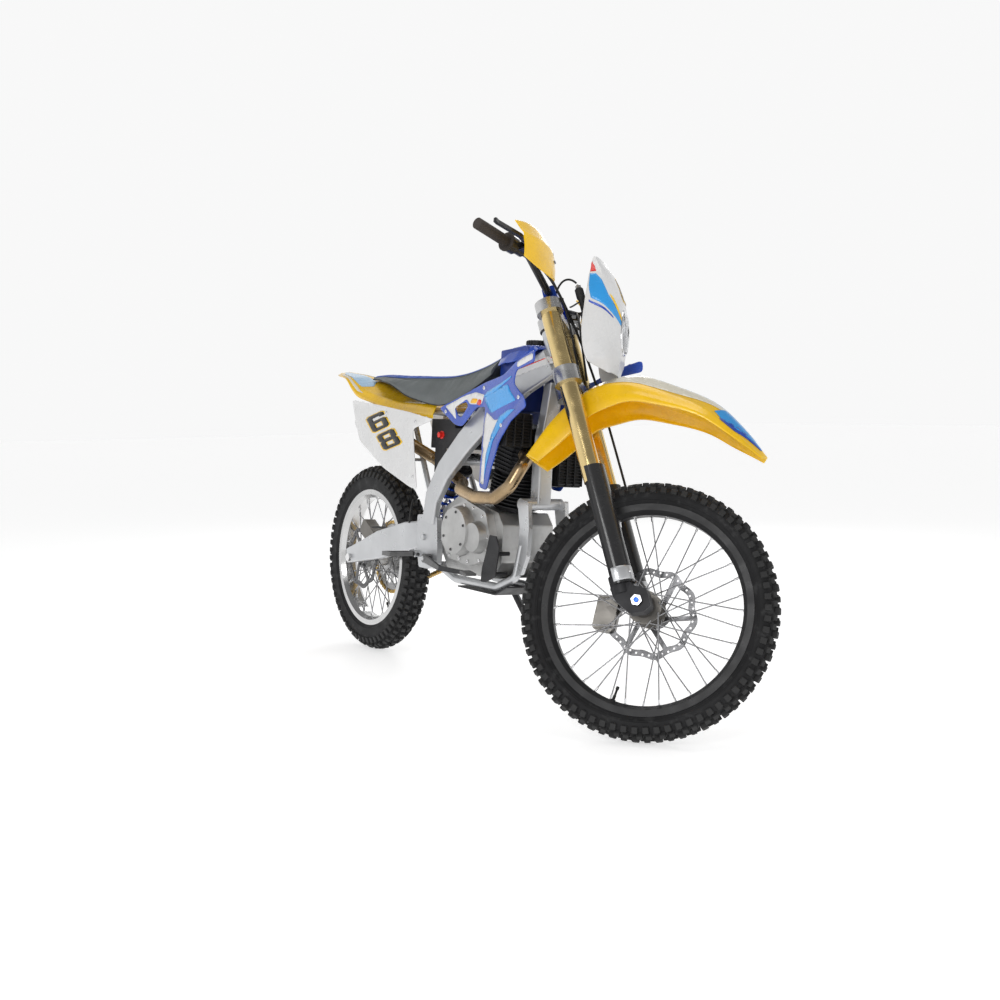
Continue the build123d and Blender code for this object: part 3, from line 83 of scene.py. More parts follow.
def material(
    name,
    colour,
    rough=0.45,
    metal=0.0,
    coat=0.0,
    grain=900.0,
    bump=0.12,
    mottle=0.08,
    wear=0.25,
    worn=None,
    scratches=0.0,
    clear=False,
    weave=0.0,
):
    """A finish with fine grain, uneven tone, edge wear and, where asked for, scratches or a weave."""
    made = bpy.data.materials.new(name)
    made.use_nodes = True
    nodes, links = made.node_tree.nodes, made.node_tree.links
    shader = nodes["Principled BSDF"]
    shader.inputs["Metallic"].default_value = metal
    if max(colour) < DARK and not clear:
        shader.inputs["Specular IOR Level"].default_value = 0.22
    shader.inputs["Coat Weight"].default_value = coat
    shader.inputs["Coat Roughness"].default_value = 0.08
    if clear:
        shader.inputs["Transmission Weight"].default_value = 1.0
        shader.inputs["IOR"].default_value = 1.45
    place = nodes.new("ShaderNodeTexCoord")

    def noise(scale, detail, stretch=None):
        texture = nodes.new("ShaderNodeTexNoise")
        texture.inputs["Scale"].default_value = scale
        texture.inputs["Detail"].default_value = detail
        if stretch:
            mapping = nodes.new("ShaderNodeMapping")
            mapping.inputs["Scale"].default_value = stretch
            links.new(place.outputs["Object"], mapping.inputs["Vector"])
            links.new(mapping.outputs["Vector"], texture.inputs["Vector"])
        else:
            links.new(place.outputs["Object"], texture.inputs["Vector"])
        return texture.outputs["Fac"]

    def ranged(value, low, high, to_low, to_high):
        node = nodes.new("ShaderNodeMapRange")
        for key, number in zip(("From Min", "From Max", "To Min", "To Max"), (low, high, to_low, to_high)):
            node.inputs[key].default_value = number
        links.new(value, node.inputs["Value"])
        return node.outputs["Result"]

    def blended(factor, first, second):
        node = nodes.new("ShaderNodeMix")
        node.data_type = "RGBA"
        links.new(factor, node.inputs["Factor"])
        for key, value in ((6, first), (7, second)):
            if isinstance(value, tuple):
                node.inputs[key].default_value = (*value, 1)
            else:
                links.new(value, node.inputs[key])
        return node.outputs[2]

    darker = tuple(c * (1 - mottle * 1.6) for c in colour)
    lighter = tuple(min(1.0, c * (1 + mottle)) for c in colour)
    tone = blended(ranged(noise(9.0, 5.0), 0.35, 0.68, 0, 1), darker, lighter)
    if worn is None:
        worn = tuple(min(1.0, c * 1.25 + 0.05) for c in colour)
    edge = nodes.new("ShaderNodeNewGeometry").outputs["Pointiness"]
    tone = blended(ranged(edge, 0.53, 0.62, 0, wear), tone, worn)
    dust = tuple(min(1.0, 0.75 * c + 0.03) for c in colour)
    tone = blended(ranged(noise(48.0, 6.0), 0.56, 0.72, 0, min(1.0, mottle * 4)), tone, dust)
    links.new(tone, shader.inputs["Base Color"])
    fine = noise(grain, 2.0)
    roughness = ranged(noise(26.0, 4.0), 0.3, 0.75, max(0.03, rough - 0.08), rough + 0.1)
    if scratches:
        streak = ranged(noise(120.0, 3.0, (0.15, 1.0, 6.0)), 0.62, 0.74, 0, scratches)
        add = nodes.new("ShaderNodeMath")
        links.new(roughness, add.inputs[0])
        links.new(streak, add.inputs[1])
        roughness = add.outputs[0]
    links.new(roughness, shader.inputs["Roughness"])
    relief = nodes.new("ShaderNodeBump")
    relief.inputs["Strength"].default_value = bump
    relief.inputs["Distance"].default_value = 0.0004
    height = fine
    if weave:
        cells = nodes.new("ShaderNodeTexVoronoi")
        cells.inputs["Scale"].default_value = weave
        links.new(place.outputs["Object"], cells.inputs["Vector"])
        height = cells.outputs["Distance"]
    links.new(height, relief.inputs["Height"])
    links.new(relief.outputs["Normal"], shader.inputs["Normal"])
    return made


M = {
    "yellow": material("yellow_plastic", (0.95, 0.56, 0.002), 0.28, coat=0.35, scratches=0.1, bump=0.06),
    "orange": material("orange_plastic", (0.92, 0.45, 0.004), 0.36, scratches=0.15, bump=0.08),
    "blue": material("blue_plastic", (0.008, 0.062, 0.44), 0.26, coat=0.4, scratches=0.12, bump=0.06),
    "deep_blue": material("deep_blue_plastic", (0.006, 0.035, 0.27), 0.4, scratches=0.15, bump=0.1),
    "sky": material("sky_blue_print", (0.03, 0.32, 0.75), 0.25, coat=0.3, mottle=0.04),
    "pale": material("pale_blue_print", (0.42, 0.62, 0.82), 0.27, coat=0.3, mottle=0.04),
    "white": material("white_plastic", (0.7, 0.7, 0.7), 0.27, coat=0.3, mottle=0.03, scratches=0.1),
    "cream": material("cream_print", (0.74, 0.7, 0.58), 0.27, coat=0.3, mottle=0.03),
    "red": material("red_print", (0.72, 0.02, 0.012), 0.27, coat=0.3, mottle=0.05),
    "red_lens": material("red_lens", (0.55, 0.01, 0.01), 0.12, coat=0.9, mottle=0.05, weave=420.0, bump=0.3),
    "ink": material("black_print", (0.012, 0.012, 0.013), 0.3, coat=0.2, mottle=0.05, wear=0.05),
    "black": material("black_plastic", (0.02, 0.02, 0.022), 0.46, bump=0.35, wear=0.15, scratches=0.15),
    "gloss_black": material("gloss_black_paint", (0.016, 0.016, 0.017), 0.24, coat=0.4, wear=0.2),
    "steel_black": material("black_steel", (0.028, 0.028, 0.03), 0.38, metal=0.35, wear=0.5,
                            worn=(0.3, 0.3, 0.3)),
    "cast_black": material("cast_black", (0.022, 0.022, 0.024), 0.5, metal=0.5, bump=0.5, grain=520.0),
    "silver_paint": material("silver_paint", (0.56, 0.57, 0.585), 0.33, metal=0.6, coat=0.3, bump=0.1,
                             mottle=0.05),
    "cast": material("cast_alloy", (0.47, 0.47, 0.465), 0.42, metal=0.85, bump=0.45, grain=650.0,
                     mottle=0.12),
    "machined": material("machined_alloy", (0.5, 0.5, 0.5), 0.27, metal=0.95, bump=0.1, scratches=0.2),
    "polished": material("polished_alloy", (0.56, 0.56, 0.56), 0.17, metal=1.0, bump=0.05, mottle=0.04),
    "chrome": material("bright_steel", (0.78, 0.78, 0.79), 0.12, metal=1.0, bump=0.03, mottle=0.04),
    "caliper": material("caliper_alloy", (0.17, 0.16, 0.145), 0.38, metal=0.8, bump=0.3, mottle=0.12),
    "disc": material("disc_steel", (0.13, 0.13, 0.135), 0.36, metal=1.0, bump=0.25, scratches=0.3),
    "gold": material("gold_anodised", (0.76, 0.58, 0.27), 0.2, metal=1.0, bump=0.06, scratches=0.15,
                     mottle=0.05),
    "chain": material("chain_gold", (0.66, 0.46, 0.16), 0.32, metal=0.9, bump=0.2, mottle=0.15),
    "bronze": material("header_bronze", (0.46, 0.33, 0.19), 0.3, metal=1.0, bump=0.2, mottle=0.22,
                       scratches=0.3),
    "tyre": material("tyre_rubber", (0.016, 0.016, 0.017), 0.62, bump=0.5, grain=700.0, mottle=0.2, wear=0.5,
                     worn=(0.05, 0.05, 0.05)),
    "rubber": material("rubber", (0.018, 0.018, 0.018), 0.52, bump=0.3, mottle=0.15),
    "grip": material("grip_rubber", (0.05, 0.042, 0.037), 0.66, bump=0.6, weave=520.0, mottle=0.15),
    "cover": material("seat_vinyl", (0.125, 0.14, 0.142), 0.52, bump=0.7, weave=900.0, mottle=0.12,
                      wear=0.05),
    "blue_cover": material("blue_vinyl", (0.01, 0.075, 0.42), 0.46, bump=0.6, weave=900.0, mottle=0.08,
                           wear=0.05),
    "anodised": material("blue_anodised", (0.012, 0.06, 0.42), 0.26, metal=0.8, bump=0.1, mottle=0.05),
    "glass": material("lamp_glass", (0.95, 0.96, 0.97), 0.04, clear=True, bump=0.02, mottle=0.01, wear=0.0),
    "spoke": material("spoke_wire", (0.3, 0.3, 0.31), 0.24, metal=1.0, bump=0.05, mottle=0.05),
    "rim_black": material("rim_black", (0.012, 0.012, 0.013), 0.34, wear=0.3, bump=0.06),
}

NODE_FINISH = dict(
    main_frame="silver_paint",
    subframe="silver_paint",
    crankcase="cast",
    engine_covers="cast",
    cylinder_barrel="cast_black",
    cylinder_head="cast_black",
    exhaust="bronze",
    carburettor="cast",
    airbox="black",
    radiators="cast_black",
    fuel_tank="deep_blue",
    fuel_cap="black",
    engine_guard="black",
    triple_clamps="machined",
    bar_risers="anodised",
    fork_tubes="gold",
    handlebar="gloss_black",
    right_controls="gloss_black",
    left_controls="gloss_black",
    throttle_grip="grip",
    brake_lever="gloss_black",
    clutch_lever="gloss_black",
    kill_button="red",
    fork_sliders="cast_black",
    front_axle="spoke",
    fork_guards="gloss_black",
    front_caliper="caliper",
    front_rim="rim_black",
    front_spokes="spoke",
    front_hub="caliper",
    front_disc="disc",
    rear_rim="polished",
    rear_spokes="spoke",
    rear_hub="machined",
    rear_disc="disc",
    rear_sprocket="machined",
    front_sprocket="steel_black",
    swingarm="silver_paint",
    rear_axle="chrome",
    rear_caliper="caliper",
    shock_body="steel_black",
    shock_rod="chrome",
    brake_pedal="steel_black",
    shift_lever="steel_black",
    kick_lever="steel_black",
    side_stand="steel_black",
    footpeg_right="steel_black",
    footpeg_left="steel_black",
)
for node_name, finish in NODE_FINISH.items():
    data = NODES[node_name].data
    data.materials.clear()
    data.materials.append(M[finish])
    data.shade_smooth()
    data.set_sharp_from_angle(angle=math.radians(32))


# The muffler is bright alloy behind this place, and the header ahead of it keeps its heat tint.
MUFFLER_FRONT = 278.0
exhaust = NODES["exhaust"]
exhaust.data.materials.append(M["polished"])
to_upright = PARKED.inverted() @ exhaust.matrix_world
for polygon in exhaust.data.polygons:
    if (to_upright @ polygon.center).x < MUFFLER_FRONT * MM:
        polygon.material_index = 1


# ---- mesh building ---------------------------------------------------------------------------------
def catmull(rows, t):
    """A point of a smooth run through rows of numbers, at t rows along."""
    rows = np.asarray(rows, float)
    t = min(max(t, 0.0), len(rows) - 1.0)
    i = min(int(t), len(rows) - 2)
    u = t - i
    before, here, after = rows[max(i - 1, 0)], rows[i], rows[i + 1]
    beyond = rows[min(i + 2, len(rows) - 1)]
    return 0.5 * (
        2 * here
        + (after - before) * u
        + (2 * before - 5 * here + 4 * after - beyond) * u * u
        + (3 * here - before - 3 * after + beyond) * u**3
    )


def piece(name, points, faces, place, finish, body, smooth=30.0):
    """A mesh from points in millimetres in the frame place, riding on a CAD body."""
    data = bpy.data.meshes.new(name)
    data.from_pydata([place @ (Vector(p) * MM) for p in points], [], faces)
    data.validate()
    data.materials.append(M[finish])
    data.shade_smooth()
    if smooth < 180:
        data.set_sharp_from_angle(angle=math.radians(smooth))
    made = bpy.data.objects.new(name, data)
    bpy.context.scene.collection.objects.link(made)
    if body:
        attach(made, body)
    return made


def thicken(made, thickness, offset=-1.0):
    """Gives a sheet its wall, in millimetres."""
    wall = made.modifiers.new("wall", "SOLIDIFY")
    wall.thickness = thickness * MM
    wall.offset = offset
    wall.use_even_offset = False
    return made


def bevel(made, width, segments=2):
    """Rounds a piece's sharp edges, in millimetres."""
    edge = made.modifiers.new("edge", "BEVEL")
    edge.width = width * MM
    edge.segments = segments
    edge.limit_method = "ANGLE"
    edge.angle_limit = math.radians(40)
    return made


def grid(rows, closed=False):
    """Points and faces of a sheet through rows of points with the same count."""
    across = len(rows[0])
    points = [p for row in rows for p in row]
    faces = []
    for i in range(len(rows) - 1):
        for j in range(across if closed else across - 1):
            k = (j + 1) % across
            faces.append((i * across + j, i * across + k, (i + 1) * across + k, (i + 1) * across + j))
    return points, faces


def rounded(outline, radius, steps=4):
    """An outline with its corners rounded."""
    made = []
    count = len(outline)
    for i in range(count):
        before, corner, after = (np.array(outline[(i + k) % count], float) for k in (-1, 0, 1))
        start, end = before - corner, after - corner
        reach_in = min(radius, 0.45 * np.hypot(*start))
        reach_out = min(radius, 0.45 * np.hypot(*end))
        first = corner + start / max(np.hypot(*start), 1e-9) * reach_in
        last = corner + end / max(np.hypot(*end), 1e-9) * reach_out
        for k in range(steps + 1):
            u = k / steps
            made.append(tuple((1 - u) ** 2 * first + 2 * u * (1 - u) * corner + u * u * last))
    return made


def inside(p, outline):
    """Whether a point lies in a closed outline."""
    x, y = p
    found = False
    for (x0, y0), (x1, y1) in zip(outline, outline[1:] + outline[:1]):
        if (y0 > y) != (y1 > y) and x < (x1 - x0) * (y - y0) / (y1 - y0) + x0:
            found = not found
    return found


def filled(outline, holes, step):
    """Triangles over an outline with holes, with corners no further apart than step."""
    points, edges = [], []
    for loop in [outline, *holes]:
        loop_points = []
        for a, b in zip(loop, loop[1:] + loop[:1]):
            parts = max(1, math.ceil(math.dist(a, b) / step))
            loop_points += [
                (a[0] + (b[0] - a[0]) * k / parts, a[1] + (b[1] - a[1]) * k / parts) for k in range(parts)
            ]
        first = len(points)
        points += loop_points
        count = len(loop_points)
        edges += [(first + k, first + (k + 1) % count) for k in range(count)]
    border = np.array(points)
    low, high = border.min(0), border.max(0)
    for i in range(int((high[0] - low[0]) / step) + 1):
        for j in range(int((high[1] - low[1]) / step) + 1):
            p = (low[0] + (i + 0.5 * (j % 2) + 0.3) * step, low[1] + (j + 0.3) * step)
            if inside(p, outline) and not any(inside(p, h) for h in holes):
                if np.min(np.hypot(border[:, 0] - p[0], border[:, 1] - p[1])) > 0.45 * step:
                    points.append(p)
    made = delaunay_2d_cdt([Vector(p) for p in points], edges, [], 0, 1e-5)
    corners = [tuple(v) for v in made[0]]
    faces = []
    for face in made[2]:
        middle = (sum(corners[k][0] for k in face) / 3, sum(corners[k][1] for k in face) / 3)
        if inside(middle, outline) and not any(inside(middle, h) for h in holes):
            faces.append(tuple(face))
    return corners, faces


def panel(name, outline, surface, place, finish, body, holes=(), step=9.0, wall=3.0, lift=0.0,
          flip=False,
          offset=-1.0):
    """A sheet cut to an outline in a surface's own two coordinates, lifted off that surface."""
    corners, faces = filled(list(outline), [list(h) for h in holes], step)
    points = [surface(a, b, lift) for a, b in corners]
    if flip:
        faces = [tuple(reversed(f)) for f in faces]
    made = piece(name, points, faces, place, finish, body, smooth=50)
    if wall:
        thicken(made, wall, offset)
    return made


def tube(name, path, radius, place, finish, body, closed=False, sides=12, radii=None):
    """A round tube along a run of points, with capped ends."""
    path = [np.array(p, float) for p in path]
    count = len(path)
    points, faces = [], []
    across = None
    for i, p in enumerate(path):
        after = path[(i + 1) % count] if closed else path[min(i + 1, count - 1)]
        before = path[(i - 1) % count] if closed else path[max(i - 1, 0)]
        way = after - before
        way /= np.linalg.norm(way)
        if across is None:
            across = np.cross(way, (0, 0, 1) if abs(way[2]) < 0.9 else (1, 0, 0))
        across = across - way * across.dot(way)
        across /= np.linalg.norm(across)
        other = np.cross(way, across)
        r = radii[i] if radii else radius
        for k in range(sides):
            a = 2 * math.pi * k / sides
            points.append(tuple(p + r * (math.cos(a) * across + math.sin(a) * other)))
    for i in range(count if closed else count - 1):
        j = (i + 1) % count
        for k in range(sides):
            m = (k + 1) % sides
            faces.append((i * sides + k, i * sides + m, j * sides + m, j * sides + k))
    if not closed:
        faces.append(tuple(range(sides - 1, -1, -1)))
        faces.append(tuple((count - 1) * sides + k for k in range(sides)))
    return piece(name, points, faces, place, finish, body, smooth=40)


def spun(centre, profile, steps, close=False):
    """Points and faces of a profile of (left, radius) points turned about a wheel's axle."""
    rows = []
    for k in range(steps):
        a = 2 * math.pi * k / steps
        rows.append(
            [(centre[0] + r * math.cos(a), centre[1] + y, centre[2] + r * math.sin(a)) for y, r in profile]
        )
    rows.append(rows[0])
    points, faces = grid(rows, closed=close)
    across = len(profile)
    last = (len(rows) - 1) * across
    points = points[:last]
    faces = [tuple(i - last if i >= last else i for i in f) for f in faces]
    return points, faces


def bolts(name, spots, way, radius, height, place, finish, body):
    """Socket-head bolts: chamfered heads with a hexagon socket, facing along way."""
    way = np.array(way, float) / np.linalg.norm(way)
    across = np.cross(way, (0, 0, 1) if abs(way[2]) < 0.9 else (1, 0, 0))
    across /= np.linalg.norm(across)
    other = np.cross(way, across)
    rings = [(1.0, 0.0), (1.0, 0.75), (0.86, 1.0), (0.52, 1.0), (0.48, 0.45)]
    points, faces = [], []
    for spot in spots:
        first = len(points)
        for share, up in rings:
            for k in range(12):
                a = 2 * math.pi * k / 12
                r = radius * share
                if share < 0.6:
                    r *= 1.0 if k % 2 == 0 else 0.9
                out = math.cos(a) * across + math.sin(a) * other
                points.append(tuple(np.array(spot, float) + way * height * up + r * out))
        for i in range(len(rings) - 1):
            for k in range(12):
                m = (k + 1) % 12
                faces.append((first + i * 12 + k, first + i * 12 + m, first + i * 12 + 12 + m,
                              first + i * 12 + 12 + k))
        faces.append(tuple(first + 48 + k for k in range(12)))
    return piece(name, points, faces, place, finish, body, smooth=35)


# ---- wheels ----------------------------------------------------------------------------------------
def block_tyre(name, centre, radius, half, flange, rim_half, pitches, place, body):
    """A block-pattern tyre: a carcass with ribs at the bead, and five rows of tapered blocks."""
    low = radius - half
    wide, deep = half - 7.0, half - 13.0
    side = [
        (rim_half - 9.0, flange - 11.0),
        (rim_half - 4.0, flange - 2.0),
        (rim_half + 1.5, flange + 3.0),
        (half - 12.5, flange + 9.0),
        (half - 9.5, flange + 11.0),
        (half - 9.5, flange + 14.0),
        (half - 7.5, low - 6.0),
    ]
    arc = [
        (wide * math.sin(math.radians(a)), low + deep * math.cos(math.radians(a))) for a in range(84, -85,
                                                                                                  -12)
    ]
    points, faces = spun(centre, side + arc + [(-y, r) for y, r in reversed(side)], 128)

    def spot(phi, depth, theta):
        a, b = (half, half) if depth == 0 else (wide - 1.0, deep - 1.0)
        y, r = a * math.sin(phi), low + b * math.cos(phi)
        return (centre[0] + r * math.cos(theta), centre[1] + y, centre[2] + r * math.sin(theta))

    def block(phi_low, phi_high, theta, length, taper=0.14):
        first = len(points)
        phi_low, phi_high = math.radians(phi_low), math.radians(phi_high)
        for depth, share in ((1, 1.0), (0, 1.0 - taper)):
            mid, reach = (phi_low + phi_high) / 2, (phi_high - phi_low) / 2 * share
            for p, t in ((-1, -1), (1, -1), (1, 1), (-1, 1)):
                points.append(spot(mid + p * reach, depth, theta + t * length / 2 * share))
        for k in range(4):
            m = (k + 1) % 4
            faces.append((first + k, first + m, first + 4 + m, first + 4 + k))
        faces.append(tuple(first + 4 + k for k in range(4)))

    pitch = 2 * math.pi / pitches
    for p in range(pitches):
        theta = p * pitch
        if p % 2 == 0:
            for s in (1, -1):
                block(*sorted((s * 3.5, s * 20.0)), theta, 0.6 * pitch)
        else:
            block(-12.0, 12.0, theta, 0.52 * pitch)
        for s in (1, -1):
            shift = 0.5 * pitch if p % 2 == 0 else 0.3 * pitch
            block(*sorted((s * 27.0, s * 47.0)), theta + shift, 0.56 * pitch)
            block(*sorted((s * 55.0, s * 81.0)), theta + 0.1 * pitch, 0.6 * pitch, 0.1)
    made = piece(name, points, faces, place, "tyre", body, smooth=28)
    bevel(made, 1.1, 1)
    return made


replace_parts(block_tyre("tyre_front_knobs", FRONT_AXLE, 348.0, 43.0, 284.0, 26.0, 70, TURNED, "front_wheel"),
            "front_tyre")
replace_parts(block_tyre("tyre_rear_knobs", REAR_AXLE, 330.0, 50.0, 243.0, 34.0, 64, PARKED, "rear_wheel"),
            "rear_tyre")


def nipples(name, centre, hub_radius, rim_radius, flanges, place, body):
    """A nipple where each spoke meets the rim, in line with its spoke."""
    points, faces = [], []
    for side, flange in zip((1, -1), flanges):
        for k in range(18):
            start = 20.0 * k + (0 if side > 0 else 10.0)
            lead = 1 if k % 2 == 0 else -1
            end = math.radians(start + lead * 60.0)
            start = math.radians(start)
            inner = np.array((centre[0] + hub_radius * math.cos(start), flange + lead * 3.7,
                              centre[2] + hub_radius * math.sin(start)))
            outer = np.array((centre[0] + rim_radius * math.cos(end), side * 6.0,
                              centre[2] + rim_radius * math.sin(end)))
            way = (outer - inner) / np.linalg.norm(outer - inner)
            across = np.cross(way, (0, 1, 0))
            across /= np.linalg.norm(across)
            other = np.cross(way, across)
            first = len(points)
            for along, r in ((-16.0, 2.4), (-15.0, 3.3), (-4.0, 3.3), (-3.0, 4.6), (3.0, 4.6)):
                for m in range(8):
                    a = 2 * math.pi * m / 8
                    out = math.cos(a) * across + math.sin(a) * other
                    points.append(tuple(outer + way * along + r * out))
            for i in range(4):
                for m in range(8):
                    n = (m + 1) % 8
                    faces.append((first + i * 8 + m, first + i * 8 + n, first + i * 8 + 8 + n,
                                  first + i * 8 + 8 + m))
    return piece(name, points, faces, place, "chrome", body)


nipples("nipples_front", FRONT_AXLE, 40.0, 257.0, (33.5, -33.5), TURNED, "front_wheel")
nipples("nipples_rear", REAR_AXLE, 46.0, 216.0, (37.5, -37.5), PARKED, "rear_wheel")


def valve(name, centre, radius, angle, place, body):
    """A valve stem with its collar and cap."""
    a = math.radians(angle)
    way = np.array((math.cos(a), 0, math.sin(a)))
    heights = (0, -4, -4.1, -16, -16.1, -30, -31, -38, -40)
    radii = (7, 7, 4.2, 4.2, 3.2, 3.2, 4.6, 4.6, 3.0)
    path = [np.array(centre) + way * (radius + h) for h in heights]
    tube(name, path, 3.0, place, "rubber", body, radii=list(radii))


valve("valve_front", FRONT_AXLE, 256.0, -98.0, TURNED, "front_wheel")
valve("valve_rear", REAR_AXLE, 216.0, -60.0, PARKED, "rear_wheel")
for label, centre, place, body, faces_y, radius in (
    ("front", FRONT_AXLE, TURNED, "front_wheel", 61.4, 30.0),
    ("rear", REAR_AXLE, PARKED, "rear_wheel", -61.4, 30.0),
):
    ring = [
        (centre[0] + radius * math.cos(math.radians(60 * k)), faces_y,
         centre[2] + radius * math.sin(math.radians(60 * k)))
        for k in range(6)
    ]
    bolts("disc_bolts_" + label, ring, (0, math.copysign(1, faces_y), 0), 5.5, 4.0, place, "steel_black",
          body)
ring = [(52 * math.cos(math.radians(60 * k + 30)), 69.0,
         330 + 52 * math.sin(math.radians(60 * k + 30))) for k in range(6)]
bolts("sprocket_bolts", ring, (0, 1, 0), 6.0, 4.5, PARKED, "chrome", "rear_wheel")


# ---- chain -----------------------------------------------------------------------------------------
def chain_path():
    """The pitch line round both sprockets, as points, in the plane of the chain."""
    pitch = 15.875
    big, small = (pitch / (2 * math.sin(math.pi / n)) for n in (50, 14))
    ahead, rise = 606.0, 452.0 - 330.0
    span = math.hypot(ahead, rise)
    tilt, wrap = math.asin(rise / span), math.asin((big - small) / span)
    path = []
    up, down = math.pi / 2 + tilt - wrap, -math.pi / 2 + tilt + wrap
    for k in range(41):
        a = up - (up - down) * k / 40
        path.append((ahead + small * math.cos(a), 452.0 + small * math.sin(a)))
    for k in range(121):
        a = down - (2 * math.pi - (up - down)) * k / 120
        path.append((big * math.cos(a), 330.0 + big * math.sin(a)))
    path.append(path[0])
    return np.array(path)


def chain():
    """Link plates and rollers, pin by pin, along the pitch line."""
    path = chain_path()
    lengths = np.hypot(*(path[1:] - path[:-1]).T)
    run = np.concatenate([[0], np.cumsum(lengths)])
    count = 2 * round(run[-1] / 15.875 / 2)
    at = np.arange(count) * run[-1] / count
    pins = np.stack([np.interp(at, run, path[:, 0]), np.interp(at, run, path[:, 1])], 1)
    points, faces = [], []

    def prism(outline, low, high):
        first, n = len(points), len(outline)
        points.extend([(x, low, z) for x, z in outline] + [(x, high, z) for x, z in outline])
        faces.append(tuple(first + k for k in range(n)))
        faces.append(tuple(first + n + k for k in reversed(range(n))))
        faces.extend((first + k, first + n + k, first + n + (k + 1) % n,
                      first + (k + 1) % n) for k in range(n))

    for i in range(count):
        p, q = pins[i], pins[(i + 1) % count]
        way = (q - p) / np.linalg.norm(q - p)
        side = np.array((-way[1], way[0]))
        middle = (p + q) / 2
        plate = []
        for centre, sign in ((q, 1), (p, -1)):
            for k in range(6):
                a = math.radians(-75 + 30 * k)
                plate.append(centre + sign * 6.8 * (math.cos(a) * way + math.sin(a) * side))
            plate.append(middle + sign * side * 4.6)
        low = 6.4 if i % 2 == 0 else 4.4
        for s in (1, -1):
            prism([tuple(c) for c in plate], 65 + s * low, 65 + s * (low + 1.7))
        roller = [(p[0] + 4.9 * math.cos(k * math.pi / 5),
                   p[1] + 4.9 * math.sin(k * math.pi / 5)) for k in range(10)]
        prism(roller, 60.6, 69.4)
        pin = [(p[0] + 2.4 * math.cos(k * math.pi / 4),
                p[1] + 2.4 * math.sin(k * math.pi / 4)) for k in range(8)]
        prism(pin, 55.6, 74.4)
    return piece("chain_links", points, faces, PARKED, "chain", "swinging_arm", smooth=25)


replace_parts(chain(), "drive_chain")


# ---- suspension ------------------------------------------------------------------------------------
SHOCK_LOW, SHOCK_HIGH = np.array((360.0, 0.0, 455.0)), np.array((583.0, 0.0, 708.0))
SHOCK_LENGTH = float(np.linalg.norm(SHOCK_HIGH - SHOCK_LOW))
SHOCK_WAY = (SHOCK_HIGH - SHOCK_LOW) / SHOCK_LENGTH


def coil():
    """The shock's spring, with its end turns closed up."""
    across = np.array((0.0, 1.0, 0.0))
    other = np.cross(SHOCK_WAY, across)
    start, end, turns = 49.5, SHOCK_LENGTH - 61.5, 8.0
    path = []
    steps = int(turns * 28)
    for k in range(steps + 1):
        u = k / steps
        lift = np.interp(u * turns, (0, 0.8, turns - 0.8, turns), (0, 0.05, 0.95, 1))
        a = 2 * math.pi * turns * u
        out = math.cos(a) * across + math.sin(a) * other
        path.append(SHOCK_LOW + SHOCK_WAY * (start + (end - start) * lift) + 27.0 * out)
    return tube("spring_coil", path, 4.4, PARKED, "anodised", "shock_upper", sides=10)


spring = coil()
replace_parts(spring, "shock_spring")
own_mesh(spring)

for side, label in ((1, "left"), (-1, "right")):
    y = side * 100.0
    bolts("fork_cap_" + label, [(28.0, y, 1271.5)], (0, 0, 1), 11.0, 5.0, HEAD, "anodised", "steering_head")
    bolts("clamp_bolts_" + label, [(52.0, y + side * 20, s) for s in (1018.0, 1041.0)], (0, side, 0), 5.0,
          5.0, HEAD,
          "steel_black", "steering_head")
    band_rows = []
    for s in (421.5, 425.0, 456.0, 459.0):
        r = 37.9 if s in (425.0, 456.0) else 37.1
        band_rows.append(
            [(28 + r * math.cos(math.radians(a)), y + r * math.sin(math.radians(a)), s) for a in range(-106,
                                                                                                       107,
                                                                                                       8)]
        )
    points, faces = grid(band_rows)
    band = piece("guard_band_" + label, points, faces, HEAD, "silver_paint", "fork_lower",
                 smooth=60)
    thicken(band, 0.6, 0.0)
    bolts("guard_bolts_" + label, [(28 + 37.6 * 0.87, y + 37.6 * 0.5 * k, 441.0) for k in (-1, 1)],
          (0.87, 0.0, 0.0),
          4.5, 3.5, HEAD, "chrome", "fork_lower")


# ---- front fender ----------------------------------------------------------------------------------
FENDER_FRONT = [
    (-158, 884, 40, 50, 60, 20),
    (-110, 922, 36, 55, 78, 20),
    (-50, 966, 30, 58, 92, 22),
    (20, 1000, 16, 60, 92, 24),
    (110, 1020, -4, 72, 104, 34),
    (212, 1003, -22, 79, 100, 48),
    (309, 932, -40, 81, 84, 48),
    (391, 853, -50, 77, 68, 44),
    (442, 757, -62, 62, 46, 34),
    (476, 662, -72, 22, 14, 10),
]
FENDER_REAR = [
    (-293, 1000, -2, 36, 10, 5),
    (-230, 994, -4, 74, 14, 8),
    (-120, 981, -8, 98, 16, 10),
    (-45, 964, -10, 106, 40, 20),
    (22, 952, -14, 110, 56, 30),
    (120, 931, -12, 110, 54, 30),
    (224, 912, -10, 110, 56, 26),
    (300, 899, -6, 108, 54, 22),
    (450, 890, 0, 106, 56, 16),
    (522, 889, 0, 104, 60, 14),
]


